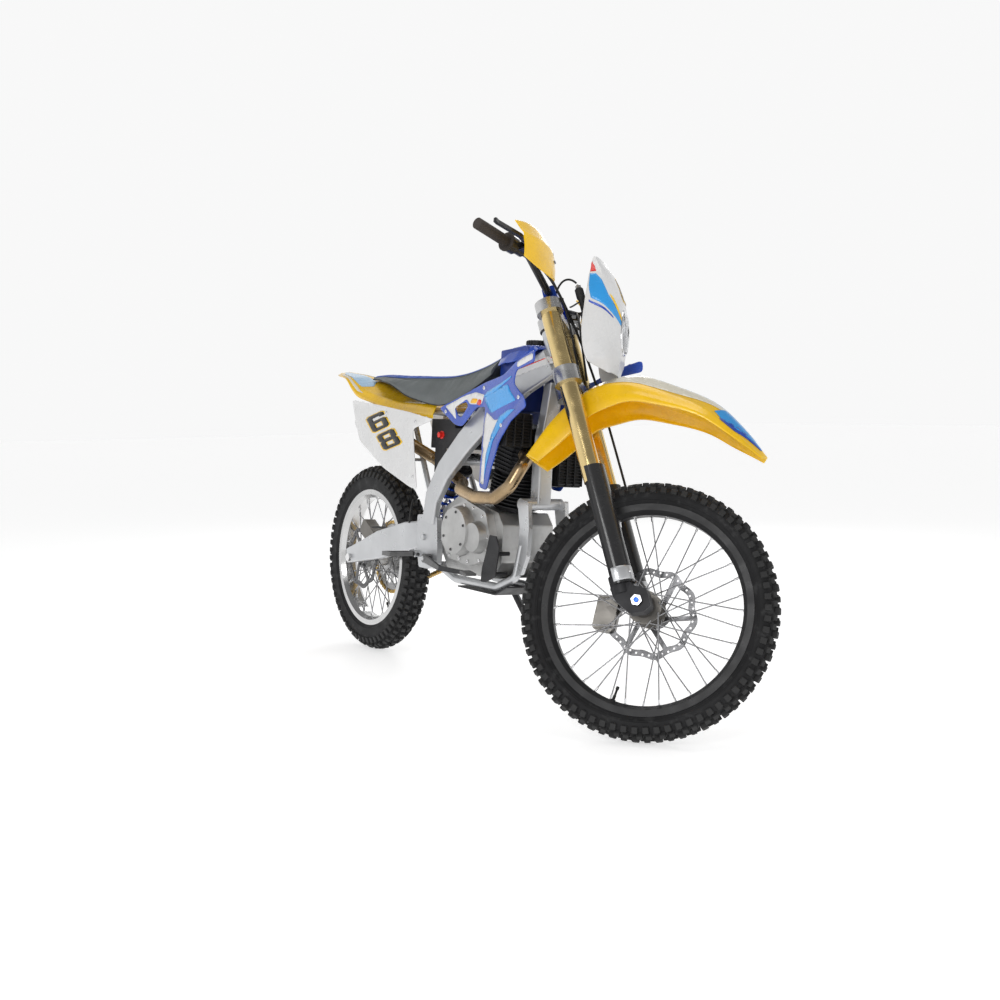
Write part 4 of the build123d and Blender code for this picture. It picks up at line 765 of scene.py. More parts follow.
def fender_surface(stations, ridge=2.4):
    """The outside of a fender: t rows along it times 100, v across it times 100, lifted in millimetres."""

    def section(half, drop, shoulder, v):
        u = abs(v)
        outline = [
            (0.0, 1.5),
            (0.25 * half, -0.12 * shoulder),
            (0.55 * half, -0.52 * shoulder),
            (0.84 * half, -0.96 * shoulder),
            (0.94 * half, -0.6 * shoulder - 0.4 * drop),
            (half, -0.3 * shoulder - 0.7 * drop),
            (half, -drop),
        ]
        y, z = catmull(outline, u * 6)
        z += ridge * math.exp(-(((u - 0.5) / 0.035) ** 2)) * min(1.0, half / 60)
        return math.copysign(y, v) if v else 0.0, z

    def surface(a, b, lift=0.0):
        f, s, heading, half, drop, shoulder = catmull(stations, a / 100)
        v = max(-1.0, min(1.0, b / 100))
        y, z = section(half, drop, shoulder, v)
        y1, z1 = section(half, drop, shoulder, max(-1.0, v - 0.02))
        y2, z2 = section(half, drop, shoulder, min(1.0, v + 0.02))
        size = max(1e-6, math.hypot(y2 - y1, z2 - z1))
        y, z = y - (z2 - z1) / size * lift, z + (y2 - y1) / size * lift
        h = math.radians(heading)
        return (f - math.sin(h) * z, y, s + math.cos(h) * z)

    return surface


def fender(name, stations, place, body, finish, wall=2.6):
    """A fender's skin, with its edges rolled."""
    surface = fender_surface(stations)
    rows = []
    count = len(stations) - 1
    for i in range(count * 7 + 1):
        rows.append([surface(100 * i / 7, v, -0.4) for v in np.linspace(-100, 100, 41)])
    points, faces = grid(rows)
    made = piece(name, points, [tuple(reversed(f)) for f in faces], place, finish, body, smooth=60)
    thicken(made, wall)
    return made


front_surface = fender_surface(FENDER_FRONT)
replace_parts(fender("fender_front_skin", FENDER_FRONT, HEAD, "steering_head", "yellow"),
            "front_fender")


def sticker(name, outline, surface, place, finish, body, lift=0.35, step=6.0, corner=3.0, flip=False,
            holes=()):
    """A thin printed film over a surface."""
    return panel(name, rounded(outline, corner), surface, place, finish, body, step=step, wall=0.25,
                 lift=lift,
                 flip=flip, holes=holes, offset=0.0)


for side, label in ((1, "left"), (-1, "right")):
    for name, outline, finish, lift in (
        ("white", [(400, 5), (520, 5), (640, 5), (760, 6), (735, 22), (640, 38), (540, 46), (440, 47),
                   (405, 40)],
         "cream", 0.45),
        ("line", [(400, 1.5), (840, 1.5), (840, 4.0), (400, 4.0)], "sky", 0.6),
        ("patch", [(735, 8), (790, 5), (862, 5), (872, 14), (800, 34), (745, 42), (720, 38)], "sky", 0.6),
        ("tip", [(780, 28), (872, 13), (868, 24), (800, 44), (752, 50), (745, 44)], "blue", 0.6),
    ):
        sticker("fender_" + name + "_" + label, [(a, side * b) for a, b in outline], front_surface, HEAD,
                finish,
                "steering_head", lift=lift,
                step=4.0,
                corner=1.5, flip=side < 0)


# ---- headlight mask --------------------------------------------------------------------------------
MASK = [
    (1022, 150, 128, 58),
    (1062, 172, 92, 88),
    (1150, 205, 100, 98),
    (1240, 220, 132, 97),
    (1310, 218, 160, 92),
    (1372, 202, 178, 76),
]
MASK_ALONG = [row[0] for row in MASK]


def mask_surface(a, b, lift=0.0):
    """The mask's outside.

    a runs from 0 at the left rear edge to 400 at the right one, b along the steering axis.
    """
    t = float(np.interp(b, MASK_ALONG, range(len(MASK))))

    def spot(a):
        _, front, back, half = catmull(MASK, t)
        brow = 5.0 * math.exp(-(((b - 1236) / 14) ** 2)) * math.exp(-(((a - 200) / 88) ** 2))
        outline = [(back, half), (0.35 * back + 0.65 * front, 0.86 * half), (front, 0.4 * half),
                   (front + 3 + brow, 0)]
        outline += [(x, -y) for x, y in reversed(outline[:-1])]
        x, y = catmull(outline, a / 400 * 6)
        return np.array((x, y))

    p = spot(a)
    way = spot(min(400, a + 4)) - spot(max(0, a - 4))
    way /= np.linalg.norm(way)
    x, y = p + lift * np.array((-way[1], way[0]))
    return (x, y, b)


def ellipse(centre_a, centre_b, reach_a, reach_b, count=36, square=0.75):
    """A rounded lamp outline."""
    made = []
    for k in range(count):
        c, s = math.cos(2 * math.pi * k / count), math.sin(2 * math.pi * k / count)
        made.append(
            (
                centre_a + reach_a * math.copysign(abs(c) ** square, c),
                centre_b + reach_b * math.copysign(abs(s) ** square, s),
            )
        )
    return made


lamp = ellipse(200, 1146, 66, 60)
mask_outline = rounded([(24, 1022), (376, 1022), (400, 1062), (400, 1310), (376, 1372), (24, 1372),
                        (0, 1310), (0, 1062)], 18)
mask = panel("mask_shell", mask_outline, mask_surface, HEAD, "white", "steering_head",
             holes=[lamp], step=6.0, wall=2.6, flip=True)
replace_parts(mask, "headlight_mask")


def lamp_ring(scale, lift, deeper=0.0):
    """Points round the lamp's opening, scaled about its middle and set back."""
    ring = []
    for a, b in lamp:
        x, y, s = mask_surface(200 + (a - 200) * scale, 1146 + (b - 1146) * scale, lift)
        ring.append((x - deeper, y, s))
    return ring


tube("lamp_rim", lamp_ring(1.0, 0.0), 3.4, HEAD, "chrome", "steering_head", closed=True)
bowl = [lamp_ring(s, 0.0, d) for s, d in ((0.99, 2), (0.94, 14), (0.8, 30), (0.58, 42), (0.34, 47),
                                          (0.12, 49), (0.02, 49))]
points, faces = grid(bowl, closed=True)
thicken(piece("lamp_bowl", points, faces, HEAD, "chrome", "steering_head", smooth=180), 1.0)
glass = [lamp_ring(s, d) for s, d in ((1.0, -2.0), (0.86, 1.0), (0.6, 3.2), (0.3, 4.4), (0.02, 4.8))]
points, faces = grid(glass, closed=True)
thicken(piece("lamp_lens", points, faces, HEAD, "glass", "steering_head", smooth=180), 1.6)
mid = np.array(mask_surface(200, 1146, 0.0))
tube("lamp_bulb", [mid - (46, 0, 0), mid - (34, 0, 0), mid - (33, 0, 0), mid - (22, 0, 0), mid - (16, 0, 0)],
     9.0, HEAD,
     "glass", "steering_head", radii=[9, 9, 7, 7, 2])
tube("lamp_hood", [mid - (28, 0, 0), mid - (15, 0, 0), mid - (13, 0, 0)], 9.5, HEAD, "chrome",
     "steering_head",
     radii=[9.5, 9.5, 6])

DIGIT_SIX = [(8, 0), (52, 0), (60, 8), (60, 48), (52, 56), (18, 56), (18, 72), (42, 72), (42, 66), (60, 66),
             (60, 82),
             (52, 90), (8, 90), (0, 82), (0, 8)]
SIX_HOLES = [[(18, 16), (42, 16), (42, 40), (18, 40)]]
DIGIT_EIGHT = [(8, 0), (52, 0), (60, 8), (60, 40), (55, 46), (60, 52), (60, 82), (52, 90), (8, 90), (0, 82),
               (0, 52),
               (5, 46), (0, 40), (0, 8)]
EIGHT_HOLES = [[(18, 16), (42, 16), (42, 37), (18, 37)], [(18, 55), (42, 55), (42, 74), (18, 74)]]


def grown(outline, reach):
    """An outline moved outwards by about reach, from its box's middle."""
    low, high = np.min(outline, 0), np.max(outline, 0)
    middle, size = (low + high) / 2, high - low
    return [tuple(middle + (np.array(p) - middle) * (1 + 2 * reach / size)) for p in outline]


def digit(name, outline, holes, to_place, surface, place, body, lift, flip, backing="yellow", step=6.0):
    """A block numeral with a contrasting edge behind it, as thin films."""
    back = [to_place(p) for p in grown(outline, 4.0)]
    panel(name + "_edge", back, surface, place, backing, body, step=step, wall=0.25,
          lift=lift,
          flip=flip, offset=0.0, holes=[[to_place(p) for p in grown(h, -3.0)] for h in holes])
    panel(name, [to_place(p) for p in outline], surface, place, "ink", body, step=step,
          wall=0.25,
          lift=lift + 0.35, flip=flip, offset=0.0, holes=[[to_place(p) for p in h] for h in holes])


for side, label in ((1, "left"), (-1, "right")):

    def across_mask(a, side=side):
        return 200 - side * (200 - a)

    for name, outline, finish, lift in (
        ("red", [(8, 1322), (40, 1318), (34, 1338), (16, 1357), (8, 1350)], "red", 0.4),
        ("blue", [(8, 1316), (38, 1311), (58, 1288), (80, 1240), (106, 1204), (132, 1166), (128, 1150),
                  (96, 1178),
                  (56, 1214), (24, 1240), (10, 1280)], "sky", 0.4),
        ("yellow", [(84, 1244), (98, 1234), (122, 1196), (140, 1162), (136, 1156), (108, 1200)], "yellow",
         0.8),
        ("line", [(18, 1236), (52, 1210), (94, 1173), (94, 1168), (50, 1204), (18, 1230)], "blue", 0.5),
    ):
        sticker("mask_" + name + "_" + label, [(across_mask(a), b) for a, b in outline], mask_surface, HEAD,
                finish,
                "steering_head",
                lift=lift, corner=2.0, flip=True)
digit("mask_numeral", DIGIT_EIGHT, EIGHT_HOLES, lambda p: (234 - p[0] * 1.13, 1236 + p[1] * 0.86),
      mask_surface, HEAD,
      "steering_head", 0.6, True, step=5.0)

# ---- hand guards -----------------------------------------------------------------------------------
# Out from the steering axis, ahead of it, and the lower and upper edges along it.
HAND_GUARD = [(160, 72, 1290, 1385), (205, 80, 1268, 1408), (250, 76, 1262, 1414), (300, 62, 1268, 1412),
              (345, 42, 1290, 1404)]
GUARD_COLUMNS, GUARD_ROWS = 25, 17
for side, label in ((1, "left"), (-1, "right")):
    rows = []
    for k in range(GUARD_COLUMNS):
        left, front, low, high = catmull(HAND_GUARD, k / (GUARD_COLUMNS - 1) * (len(HAND_GUARD) - 1))
        row = []
        for m in range(GUARD_ROWS):
            u = m / (GUARD_ROWS - 1)
            bulge = 12.0 * math.sin(math.pi * u) + 4.0 * math.exp(-(((u - 0.6) / 0.09) ** 2))
            row.append((front + bulge, side * left, low + (high - low) * u))
        rows.append(row)
    points, faces = grid(rows)
    guard = piece("hand_guard_shell_" + label, points,
                  faces if side < 0 else [tuple(reversed(f)) for f in faces], HEAD,
                  "yellow", "steering_head", smooth=60)
    thicken(guard, 3.2)
    bevel(guard, 1.0, 2)
    if side > 0:
        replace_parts(guard, "hand_guards")
    bracket = [(27, side * 186, 1376), (44, side * 184, 1364), (62, side * 188, 1352), (84, side * 196, 1350)]
    tube("guard_bracket_" + label, bracket, 6.0, HEAD, "gloss_black", "steering_head")
    bolts("hand_guard_bolts_" + label, [(91.5, side * 196, 1352), (91.5, side * 196, 1326)], (1, 0, 0), 5.0,
          3.0, HEAD,
          "steel_black", "steering_head")

# ---- tank shrouds ----------------------------------------------------------------------------------
SHROUD_OUTLINE = [
    (619, 860), (713, 811), (754, 805), (838, 864), (897, 864), (885, 826), (871, 738), (859, 628),
    (905, 621),
    (932, 680), (991, 767), (1064, 824), (1157, 865), (1141, 888), (1072, 929), (1081, 965), (1194, 984),
    (1190, 1017), (1079, 988), (1003, 954), (875, 934),
]
SHROUD_HOLE = [(708, 866), (728, 838), (750, 832), (790, 868), (776, 880)]


def shroud_surface(side):
    """A shroud's outside: a forward, b up; it flares ahead of the tank and swells round its middle."""

    def surface(a, b, lift=0.0):
        flare = 0.167 * max(0.0, a - 875.0)
        soft = 6.0 * math.exp(-(((a - 875) / 60) ** 2))
        swell = 5.0 * math.exp(-(((b - 880) / 70) ** 2) - ((a - 950) / 160) ** 2)
        crease = 2.2 * math.exp(-(((b - (700 + 0.62 * (a - 820))) / 9) ** 2)) if a > 850 else 0.0
        tuck = 0.05 * max(0.0, 760 - b)
        return (a, side * (137.2 + flare + soft * 0.3 + swell - crease - tuck + lift), b)

    return surface


for side, label in ((1, "left"), (-1, "right")):
    surface = shroud_surface(side)
    flip = side > 0
    shroud = panel("shroud_skin_" + label, rounded(SHROUD_OUTLINE, 14), surface, PARKED, "blue", "chassis",
                   holes=[rounded(SHROUD_HOLE, 8)], wall=3.0, flip=flip)
    bevel(shroud, 0.8, 2)
    if side > 0:
        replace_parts(shroud, "tank_shrouds")
    for name, outline, finish, lift in (
        ("white_leg", [(866, 640), (886, 636), (900, 684), (946, 775), (1010, 832), (960, 826), (906, 850),
                       (890, 820),
                       (880, 740)], "white", 0.35),
        ("sky_leg", [(890, 650), (904, 690), (950, 768), (1012, 824), (1090, 858), (1050, 856), (990, 836),
                     (934, 782),
                     (900, 720)], "sky", 0.75),
        ("white_top", [(655, 866), (712, 832), (722, 826), (712, 862), (780, 888), (800, 872), (868, 872),
                       (884, 900),
                       (830, 908), (760, 896)], "white", 0.35),
        ("sky_top", [(886, 884), (936, 846), (1000, 862), (1094, 882), (1056, 908), (1036, 928), (960, 914),
                     (892, 900)],
         "sky", 0.35),
        ("orange", [(800, 876), (836, 874), (848, 888), (812, 890)], "orange", 0.75),
        ("red_tip", [(838, 872), (862, 868), (870, 884), (850, 888)], "red", 0.75),
        ("pale_top", [(876, 892), (958, 908), (1052, 944), (1060, 952), (1000, 934), (900, 908)], "sky",
         0.75),
        ("tip", [(1090, 972), (1150, 984), (1186, 992), (1184, 1008), (1120, 996), (1086, 985)], "white",
         0.35),
    ):
        sticker("shroud_" + name + "_" + label, outline, surface, PARKED, finish, "chassis",
                lift=lift, step=10.0, corner=8.0,
                flip=flip)
    bolts("shroud_bolts_" + label, [surface(*p, 0.0) for p in ((660, 850), (880, 920), (1000, 812),
                                                               (1110, 890))],
          (0, side, 0), 6.0, 2.6, PARKED, "chrome", "chassis")

# ---- side panels -----------------------------------------------------------------------------------
PANEL_OUTLINE = [(42, 885), (251, 868), (457, 846), (606, 824), (486, 793), (503, 706), (524, 601),
                 (479, 607),
                 (306, 659), (116, 747)]


def panel_surface(side):
    """A side panel's outside, slightly crowned, with a pressed line along its top."""

    def surface(a, b, lift=0.0):
        crown = 5.0 * math.exp(-(((a - 330) / 190) ** 2) - ((b - 750) / 110) ** 2)
        step = 2.0 / (1 + math.exp((b - (842 - 0.06 * (a - 200))) / 4))
        return (a, side * (149.6 + crown + step + lift), b)

    return surface


for side, label in ((1, "left"), (-1, "right")):
    surface = panel_surface(side)
    flip = side > 0
    skin = panel("number_panel_" + label, rounded(PANEL_OUTLINE, 16), surface, PARKED, "white", "chassis",
                 wall=2.4, flip=flip)
    bevel(skin, 0.7, 2)
    if side > 0:
        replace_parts(skin, "side_panels")
    for k, (outline, holes) in enumerate(((DIGIT_SIX, SIX_HOLES), (DIGIT_EIGHT, EIGHT_HOLES))):

        def to_panel(p, k=k, side=side):
            across, down = p[0] / 60, 1 - p[1] / 90
            across = across if side < 0 else 1 - across
            return (160 + 115 * across + 62 * down + 85 * k, 822 + 28 * across - 48 * down - 57 * k)

        digit("numeral_%d_%s" % (k, label), outline, holes, to_panel, surface, PARKED, "chassis", 0.4, flip,
              step=9.0)
    bolts("panel_bolts_" + label, [surface(*p, 0.0) for p in ((300, 842), (500, 815), (498, 640))],
          (0, side, 0), 6.0, 2.6,
          PARKED, "chrome", "chassis")

# ---- rear fender -----------------------------------------------------------------------------------
rear_surface = fender_surface(FENDER_REAR)
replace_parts(fender("fender_rear_skin", FENDER_REAR, PARKED, "chassis", "yellow"),
            "rear_fender")
for side, label in ((1, "left"), (-1, "right")):
    for name, outline, finish, lift in (
        ("pale", [(20, 14), (150, 10), (330, 12), (400, 30), (350, 46), (230, 46), (110, 40), (40, 30)],
         "pale", 0.45),
        ("white", [(120, 46), (235, 52), (340, 54), (420, 60), (360, 68), (240, 64), (140, 58)], "cream",
         0.45),
    ):
        sticker("tail_" + name + "_" + label, [(a, side * b) for a, b in outline], rear_surface, PARKED,
                finish,
                "chassis", lift=lift, step=4.0, flip=side < 0)
lamp_rows = []
for x, grow in ((-60, 1.0), (-112, 1.0), (-122, 0.95), (-128, 0.82), (-129.5, 0.4)):
    lamp_rows.append(
        [(x, y * grow, 930 + z * grow) for y, z in rounded([(55, -23), (55, 23), (-55, 23), (-55, -23)], 14)]
    )
points, faces = grid(lamp_rows, closed=True)
count = len(lamp_rows[0])
faces.append(tuple(range((len(lamp_rows) - 1) * count, len(lamp_rows) * count)))
piece("tail_lamp", points, faces, PARKED, "red_lens", "chassis", smooth=60)

# ---- seat ------------------------------------------------------------------------------------------
SEAT = [
    (-38, 30, 966, 26, 978, 962),
    (60, 50, 961, 38, 980, 955),
    (131, 76, 952, 54, 976, 944),
    (224, 106, 944, 62, 972, 932),
    (300, 112, 922, 68, 970, 911),
    (380, 115, 897, 72, 968, 897),
    (530, 114, 872, 70, 966, 894),
    (607, 112, 872, 68, 970, 894),
    (680, 104, 892, 66, 980, 902),
    (760, 98, 925, 62, 998, 938),
    (833, 92, 960, 56, 1022, 985),
]


def seat_surface(a, b, lift=0.0):
    """The cushion's outside.

    a counts rows along it times 100, b goes round it from the left edge at 0 to the right one at 500.
    """
    x, low_half, low, high_half, top, under = catmull(SEAT, a / 100)
    drawn = 1.6 * math.sin(a / 100 * math.pi * 2) ** 2
    outline = [
        (0.8 * low_half, under + 2),
        (low_half, low + 1),
        (low_half - 1.5, low + 0.3 * (top - low)),
        (0.45 * low_half + 0.55 * high_half - 3 - drawn, low + 0.68 * (top - low)),
        (high_half + 3, top - 12),
        (0.84 * high_half, top - 2),
        (0.5 * high_half, top + 1.5),
        (0.0, top + 3.0),
    ]
    full = outline + [(-y, z) for y, z in reversed(outline[:-1])]
    place = b / 500 * (len(full) - 1)
    y, z = catmull(full, place)
    y1, z1 = catmull(full, max(0, place - 0.1))
    y2, z2 = catmull(full, min(len(full) - 1, place + 0.1))
    size = math.hypot(y2 - y1, z2 - z1)
    return (x, y + (z2 - z1) / size * lift, z - (y2 - y1) / size * lift)


rows = [[seat_surface(a, b, -0.5) for b in np.linspace(0, 500, 57)] for a in np.linspace(0, 1000, 101)]
points, faces = grid(rows, closed=True)
across = len(rows[0])
faces = [tuple(reversed(f)) for f in faces]
faces += [tuple(range(across)), tuple(reversed(range((len(rows) - 1) * across, len(rows) * across)))]
cushion = piece("seat_cushion", points, faces, PARKED, "cover", "chassis", smooth=70)
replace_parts(cushion, "seat")
for side, label in ((1, "left"), (-1, "right")):
    b = 250 - side * 105.0
    tube("seat_seam_" + label, [seat_surface(a, b, 0.2) for a in np.linspace(4, 994, 100)], 1.3, PARKED,
         "cover",
         "chassis", sides=8)
    tube("seat_piping_" + label, [seat_surface(a, 250 - side * 217.5, 0.0) for a in np.linspace(4, 994,
                                                                                                100)], 2.0,
                                                                                                PARKED,
         "rubber", "chassis", sides=8)
sticker("seat_blue_top", [(16, 168), (500, 160), (990, 150), (990, 350), (500, 340), (16, 332)],
        seat_surface, PARKED,
        "blue_cover", "chassis", lift=0.6, step=9.0)
for k, a in enumerate((180, 250, 320, 390, 460)):
    tube("seat_rib_%d" % k, [seat_surface(a, b, 0.1) for b in np.linspace(170, 330, 24)], 1.6, PARKED,
         "blue_cover", "chassis",
         sides=8)


# ---- hoses and cables ------------------------------------------------------------------------------
def routed(name, control, radius, body, finish="rubber"):
    """A hose whose line is a smooth NURBS run through its route's control points, in the row frame."""
    curve = bpy.data.curves.new(name, "CURVE")
    curve.dimensions = "3D"
    spline = curve.splines.new("NURBS")
    spline.points.add(len(control) - 1)
    for point, p in zip(spline.points, control):
        point.co = (*p, 1.0)
    spline.order_u = 4
    spline.use_endpoint_u = True
    spline.resolution_u = 12
    curve.bevel_depth = radius * MM
    curve.bevel_resolution = 4
    curve.use_fill_caps = True
    curve.materials.append(M[finish])
    made = bpy.data.objects.new(name, curve)
    bpy.context.scene.collection.objects.link(made)
    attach(made, body)
    return made


def at_head(*p):
    """A HEAD point in the row frame."""
    return HEAD @ (Vector(p) * MM)


def at_frame(*p):
    """An upright-frame point in the row frame."""
    return PARKED @ (Vector(p) * MM)


HOSE_ROUTE = [(58, -196, 1366), (58, -150, 1330), (66, -62, 1290), (70, 30, 1200), (74, 84, 1090),
              (76, 100, 960),
              (77, 101, 820), (77.5, 100, 690)]
CLUTCH_ROUTE = [(58, 196, 1362), (68, 142, 1320), (75, 62, 1240), (62, 56, 1130), (57, 48, 1068)]
THROTTLE_ROUTE = [(40, -196, 1350), (66, -142, 1310), (75, -60, 1240), (60, -50, 1130), (56, -44, 1068)]
hose = routed("brake_hose", [at_head(*p) for p in HOSE_ROUTE], 3.6, "steering_head")
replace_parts(hose, "control_cables")
routed("clutch_cable", [at_head(*p) for p in CLUTCH_ROUTE], 3.4, "steering_head")
routed("throttle_cable", [at_head(*p) for p in THROTTLE_ROUTE], 3.0, "steering_head")
routed("rear_brake_hose", [at_frame(*p) for p in ((455, -122, 566), (440, -126, 520), (400, -92, 470),
                                                  (300, -88, 452),
                                                 (180, -90, 455), (110, -84, 446))], 3.2, "swinging_arm")
for side in (1, -1):
    routed("radiator_hose_%s" % ("left" if side > 0 else "right"),
           [at_frame(*p) for p in ((958, side * 92, 800), (930, side * 88, 806), (906, side * 70, 800),
                                   (898, side * 62, 786))],
           10.0, "chassis")

# ---- small fastenings ------------------------------------------------------------------------------
cover_ring = [(640, 505), (636, 452), (680, 405), (745, 396), (800, 391), (868, 404), (905, 445), (908, 482),
              (876, 548),
              (820, 572), (765, 580), (692, 556)]
middle = np.array((770.0, 486.0))
spots = []
for x, z in cover_ring:
    inward = middle - (x, z)
    x, z = np.array((x, z)) + inward / np.linalg.norm(inward) * 11
    spots.append((x, -118.0, z))
bolts("cover_bolts", spots, (0, -1, 0), 5.0, 4.5, PARKED, "chrome", "chassis")
ring = [(752 + 58 * math.cos(math.radians(a)), -147.0,
         490 + 58 * math.sin(math.radians(a))) for a in range(20, 380, 60)]
bolts("clutch_bolts", ring, (0, -1, 0), 4.5, 3.5, PARKED, "steel_black", "chassis")
ring = [(800 + 60 * math.cos(math.radians(a)), 117.0,
         470 + 60 * math.sin(math.radians(a))) for a in range(20, 380, 60)]
bolts("generator_bolts", ring, (0, 1, 0), 4.5, 4.0, PARKED, "chrome", "chassis")


# ---- tank cover, louvres and labels ----------------------------------------------------------------
def cover_surface(a, b, lift=0.0):
    """The tank's cover: a forward, b to the left; it crowns over the tank and rolls down at its edges."""
    top = np.interp(a, (828, 880, 934, 985, 1010), (1026, 1046, 1052, 1050, 1036))
    fall = 0.5 * max(0.0, abs(b) - 46) ** 1.25
    return (a, b, top - 0.0006 * b * b - fall + lift)


def ring_of(centre, radius, count):
    """Points spaced evenly round a circle, seen from above."""
    return [
        (centre + radius * math.cos(2 * math.pi * k / count), radius * math.sin(2 * math.pi * k / count))
        for k in range(count)
    ]


def add_bar(points, faces, corners):
    """A four-sided bar whose corners come in four pairs, one from each of its ends."""
    first = len(points)
    points += corners
    for i in range(4):
        j = (i + 1) % 4
        faces.append((first + 2 * i, first + 2 * i + 1, first + 2 * j + 1, first + 2 * j))
    faces += [(first, first + 2, first + 4, first + 6), (first + 7, first + 5, first + 3, first + 1)]


CAP_X, CAP_GAP = 934, 36
COVER_OUTLINE = [(836, -80), (940, -86), (1006, -66), (1006, 66), (940, 86), (836, 80), (850, 0)]
cover = panel("tank_cover", rounded(COVER_OUTLINE, 24), cover_surface, PARKED, "blue", "chassis",
              holes=[ring_of(CAP_X, CAP_GAP, 32)], step=7.0, wall=2.5)
bevel(cover, 0.7, 2)
tube("neck_gasket", [(x, y, 1049.5) for x, y in ring_of(CAP_X, CAP_GAP - 1, 40)], 2.6, PARKED, "rubber",
     "chassis",
     closed=True)

# Each rib of the cap is drawn as a radius and a height, across half its thickness to either side.
CAP_RIBS, RIB_HALF = 20, 2.6
RIB_SECTION = ((30.0, 1053.5), (33.6, 1054.0), (33.6, 1063.0), (29.0, 1066.6))
points, faces = [], []
for k in range(CAP_RIBS):
    c, s = math.cos(2 * math.pi * k / CAP_RIBS), math.sin(2 * math.pi * k / CAP_RIBS)
    add_bar(points, faces, [(CAP_X + r * c - t * s, r * s + t * c, z) for r, z in RIB_SECTION
                            for t in (-RIB_HALF, RIB_HALF)])
piece("cap_ribs", points, faces, PARKED, "black", "filler_cap", smooth=30)

# A louvre's section is forward and up from its back edge; the uprights stand between the two heights.
LOUVRE_PITCH, LOUVRE_TOP, LOUVRE_BACK = 9, 844, 994.2
LOUVRE_SECTION = ((0.0, 0.0), (6.8, 3.4), (6.8, 4.6), (0.0, 1.6))
UPRIGHT_SECTION = ((0.0, 0.0), (8.8, 0.0), (8.8, 3.0), (0.0, 3.0))
for side, label in ((1, "left"), (-1, "right")):
    low = 646 if side > 0 else 758
    points, faces = [], []
    for k in range(int((LOUVRE_TOP - low) / LOUVRE_PITCH)):
        z = low + LOUVRE_PITCH * k
        add_bar(points, faces, [(LOUVRE_BACK + x, side * y, z + rise) for x, rise in LOUVRE_SECTION
                                for y in (54.0, 138.0)])
    for y in (52.0, 81.0, 109.0, 137.0):
        add_bar(points, faces, [(LOUVRE_BACK + x, side * (y + width), z) for x, width in UPRIGHT_SECTION
                                for z in (low - 3.0, LOUVRE_TOP + 2.0)])
    piece("louvres_" + label, points, faces, PARKED, "black", "chassis", smooth=30)

SPAR_LABEL = [(930, 952), (1060, 996), (1056, 1022), (926, 978)]
SPAR_LINE = [(934, 974), (1052, 1014), (1051.5, 1017), (933, 977)]


def against(node, side):
    """A node's outside as seen square from one side: a forward, b up, found by a ray to its mesh."""
    mesh = NODES[node].data
    tree = BVHTree.FromPolygons([v.co for v in mesh.vertices], [tuple(p.vertices) for p in mesh.polygons])
    turn = PARKED.to_3x3()
    way = (turn @ Vector((0, -side, 0))).normalized()

    def surface(a, b, lift=0.0):
        start = PARKED @ (Vector((a, side * 400, b)) * MM)
        hit = tree.ray_cast(start, way)[0]
        if hit is None:
            return (a, side * (60 + lift), b)
        local = PARKED.inverted() @ (hit - way * lift * MM)
        return tuple(c / MM for c in local)

    return surface


for side, label in ((1, "left"), (-1, "right")):
    spar = against("main_frame", side)
    sticker("spar_label_" + label, SPAR_LABEL, spar, PARKED, "white", "chassis", lift=0.3,
            step=8.0,
            corner=2.0, flip=side > 0)
    sticker("spar_line_" + label, SPAR_LINE, spar, PARKED, "red", "chassis", lift=0.7,
            step=8.0,
            corner=0.5, flip=side > 0)

# ---- headlight boot and wiring ---------------------------------------------------------------------
for side, label in ((1, "left"), (-1, "right")):
    along = [(118, side * 58, s) for s in (1108, 1112, 1150, 1210, 1222, 1226, 1262, 1270, 1296, 1299)]
    tube("lamp_boot_" + label, along, 15.0, HEAD, "rubber", "steering_head",
         radii=[8, 14, 16, 15, 13, 9.5, 9.5, 12.5, 12.5, 9])
    tube("boot_cap_" + label, [(118, side * 58, s) for s in (1299, 1300, 1308, 1310)], 8.0, HEAD, "machined",
         "steering_head", radii=[7.5, 8.5, 8.5, 6.5])
shell_back = [lamp_ring(s, 0.0, d) for s, d in ((1.02, 8), (1.0, 22), (0.88, 42), (0.66, 56), (0.4, 61),
                                                (0.02, 62))]
points, faces = grid(shell_back, closed=True)
thicken(piece("lamp_housing", points, faces, HEAD, "black", "steering_head", smooth=60), 1.2)
routed("lamp_loom", [at_head(*p) for p in ((40, -40, 1300), (70, -62, 1352), (102, -66, 1344),
                                           (116, -58, 1318))], 3.0,
       "steering_head")
routed("switch_loom", [at_head(*p) for p in ((50, 150, 1364), (66, 110, 1340), (92, 66, 1330),
                                             (116, 58, 1318))], 2.6,
       "steering_head")
routed("gauge_loom", [at_head(*p) for p in ((96, -40, 1180), (70, -46, 1190), (62, -52, 1220),
                                            (66, -54, 1290))], 2.6,
       "steering_head")
bolts("front_axle_centre", [(1455.0, -134.2, 348.0)], (0, -1, 0), 7.0, 4.0, TURNED, "anodised", "fork_lower")
tube("airbox_plug", [(575, -94, 778), (575, -99, 778), (575, -99.5, 778), (575, -110, 778),
                     (575, -112, 778)], 9.0, PARKED,
     "red", "chassis", radii=[13, 13, 9, 9, 6])


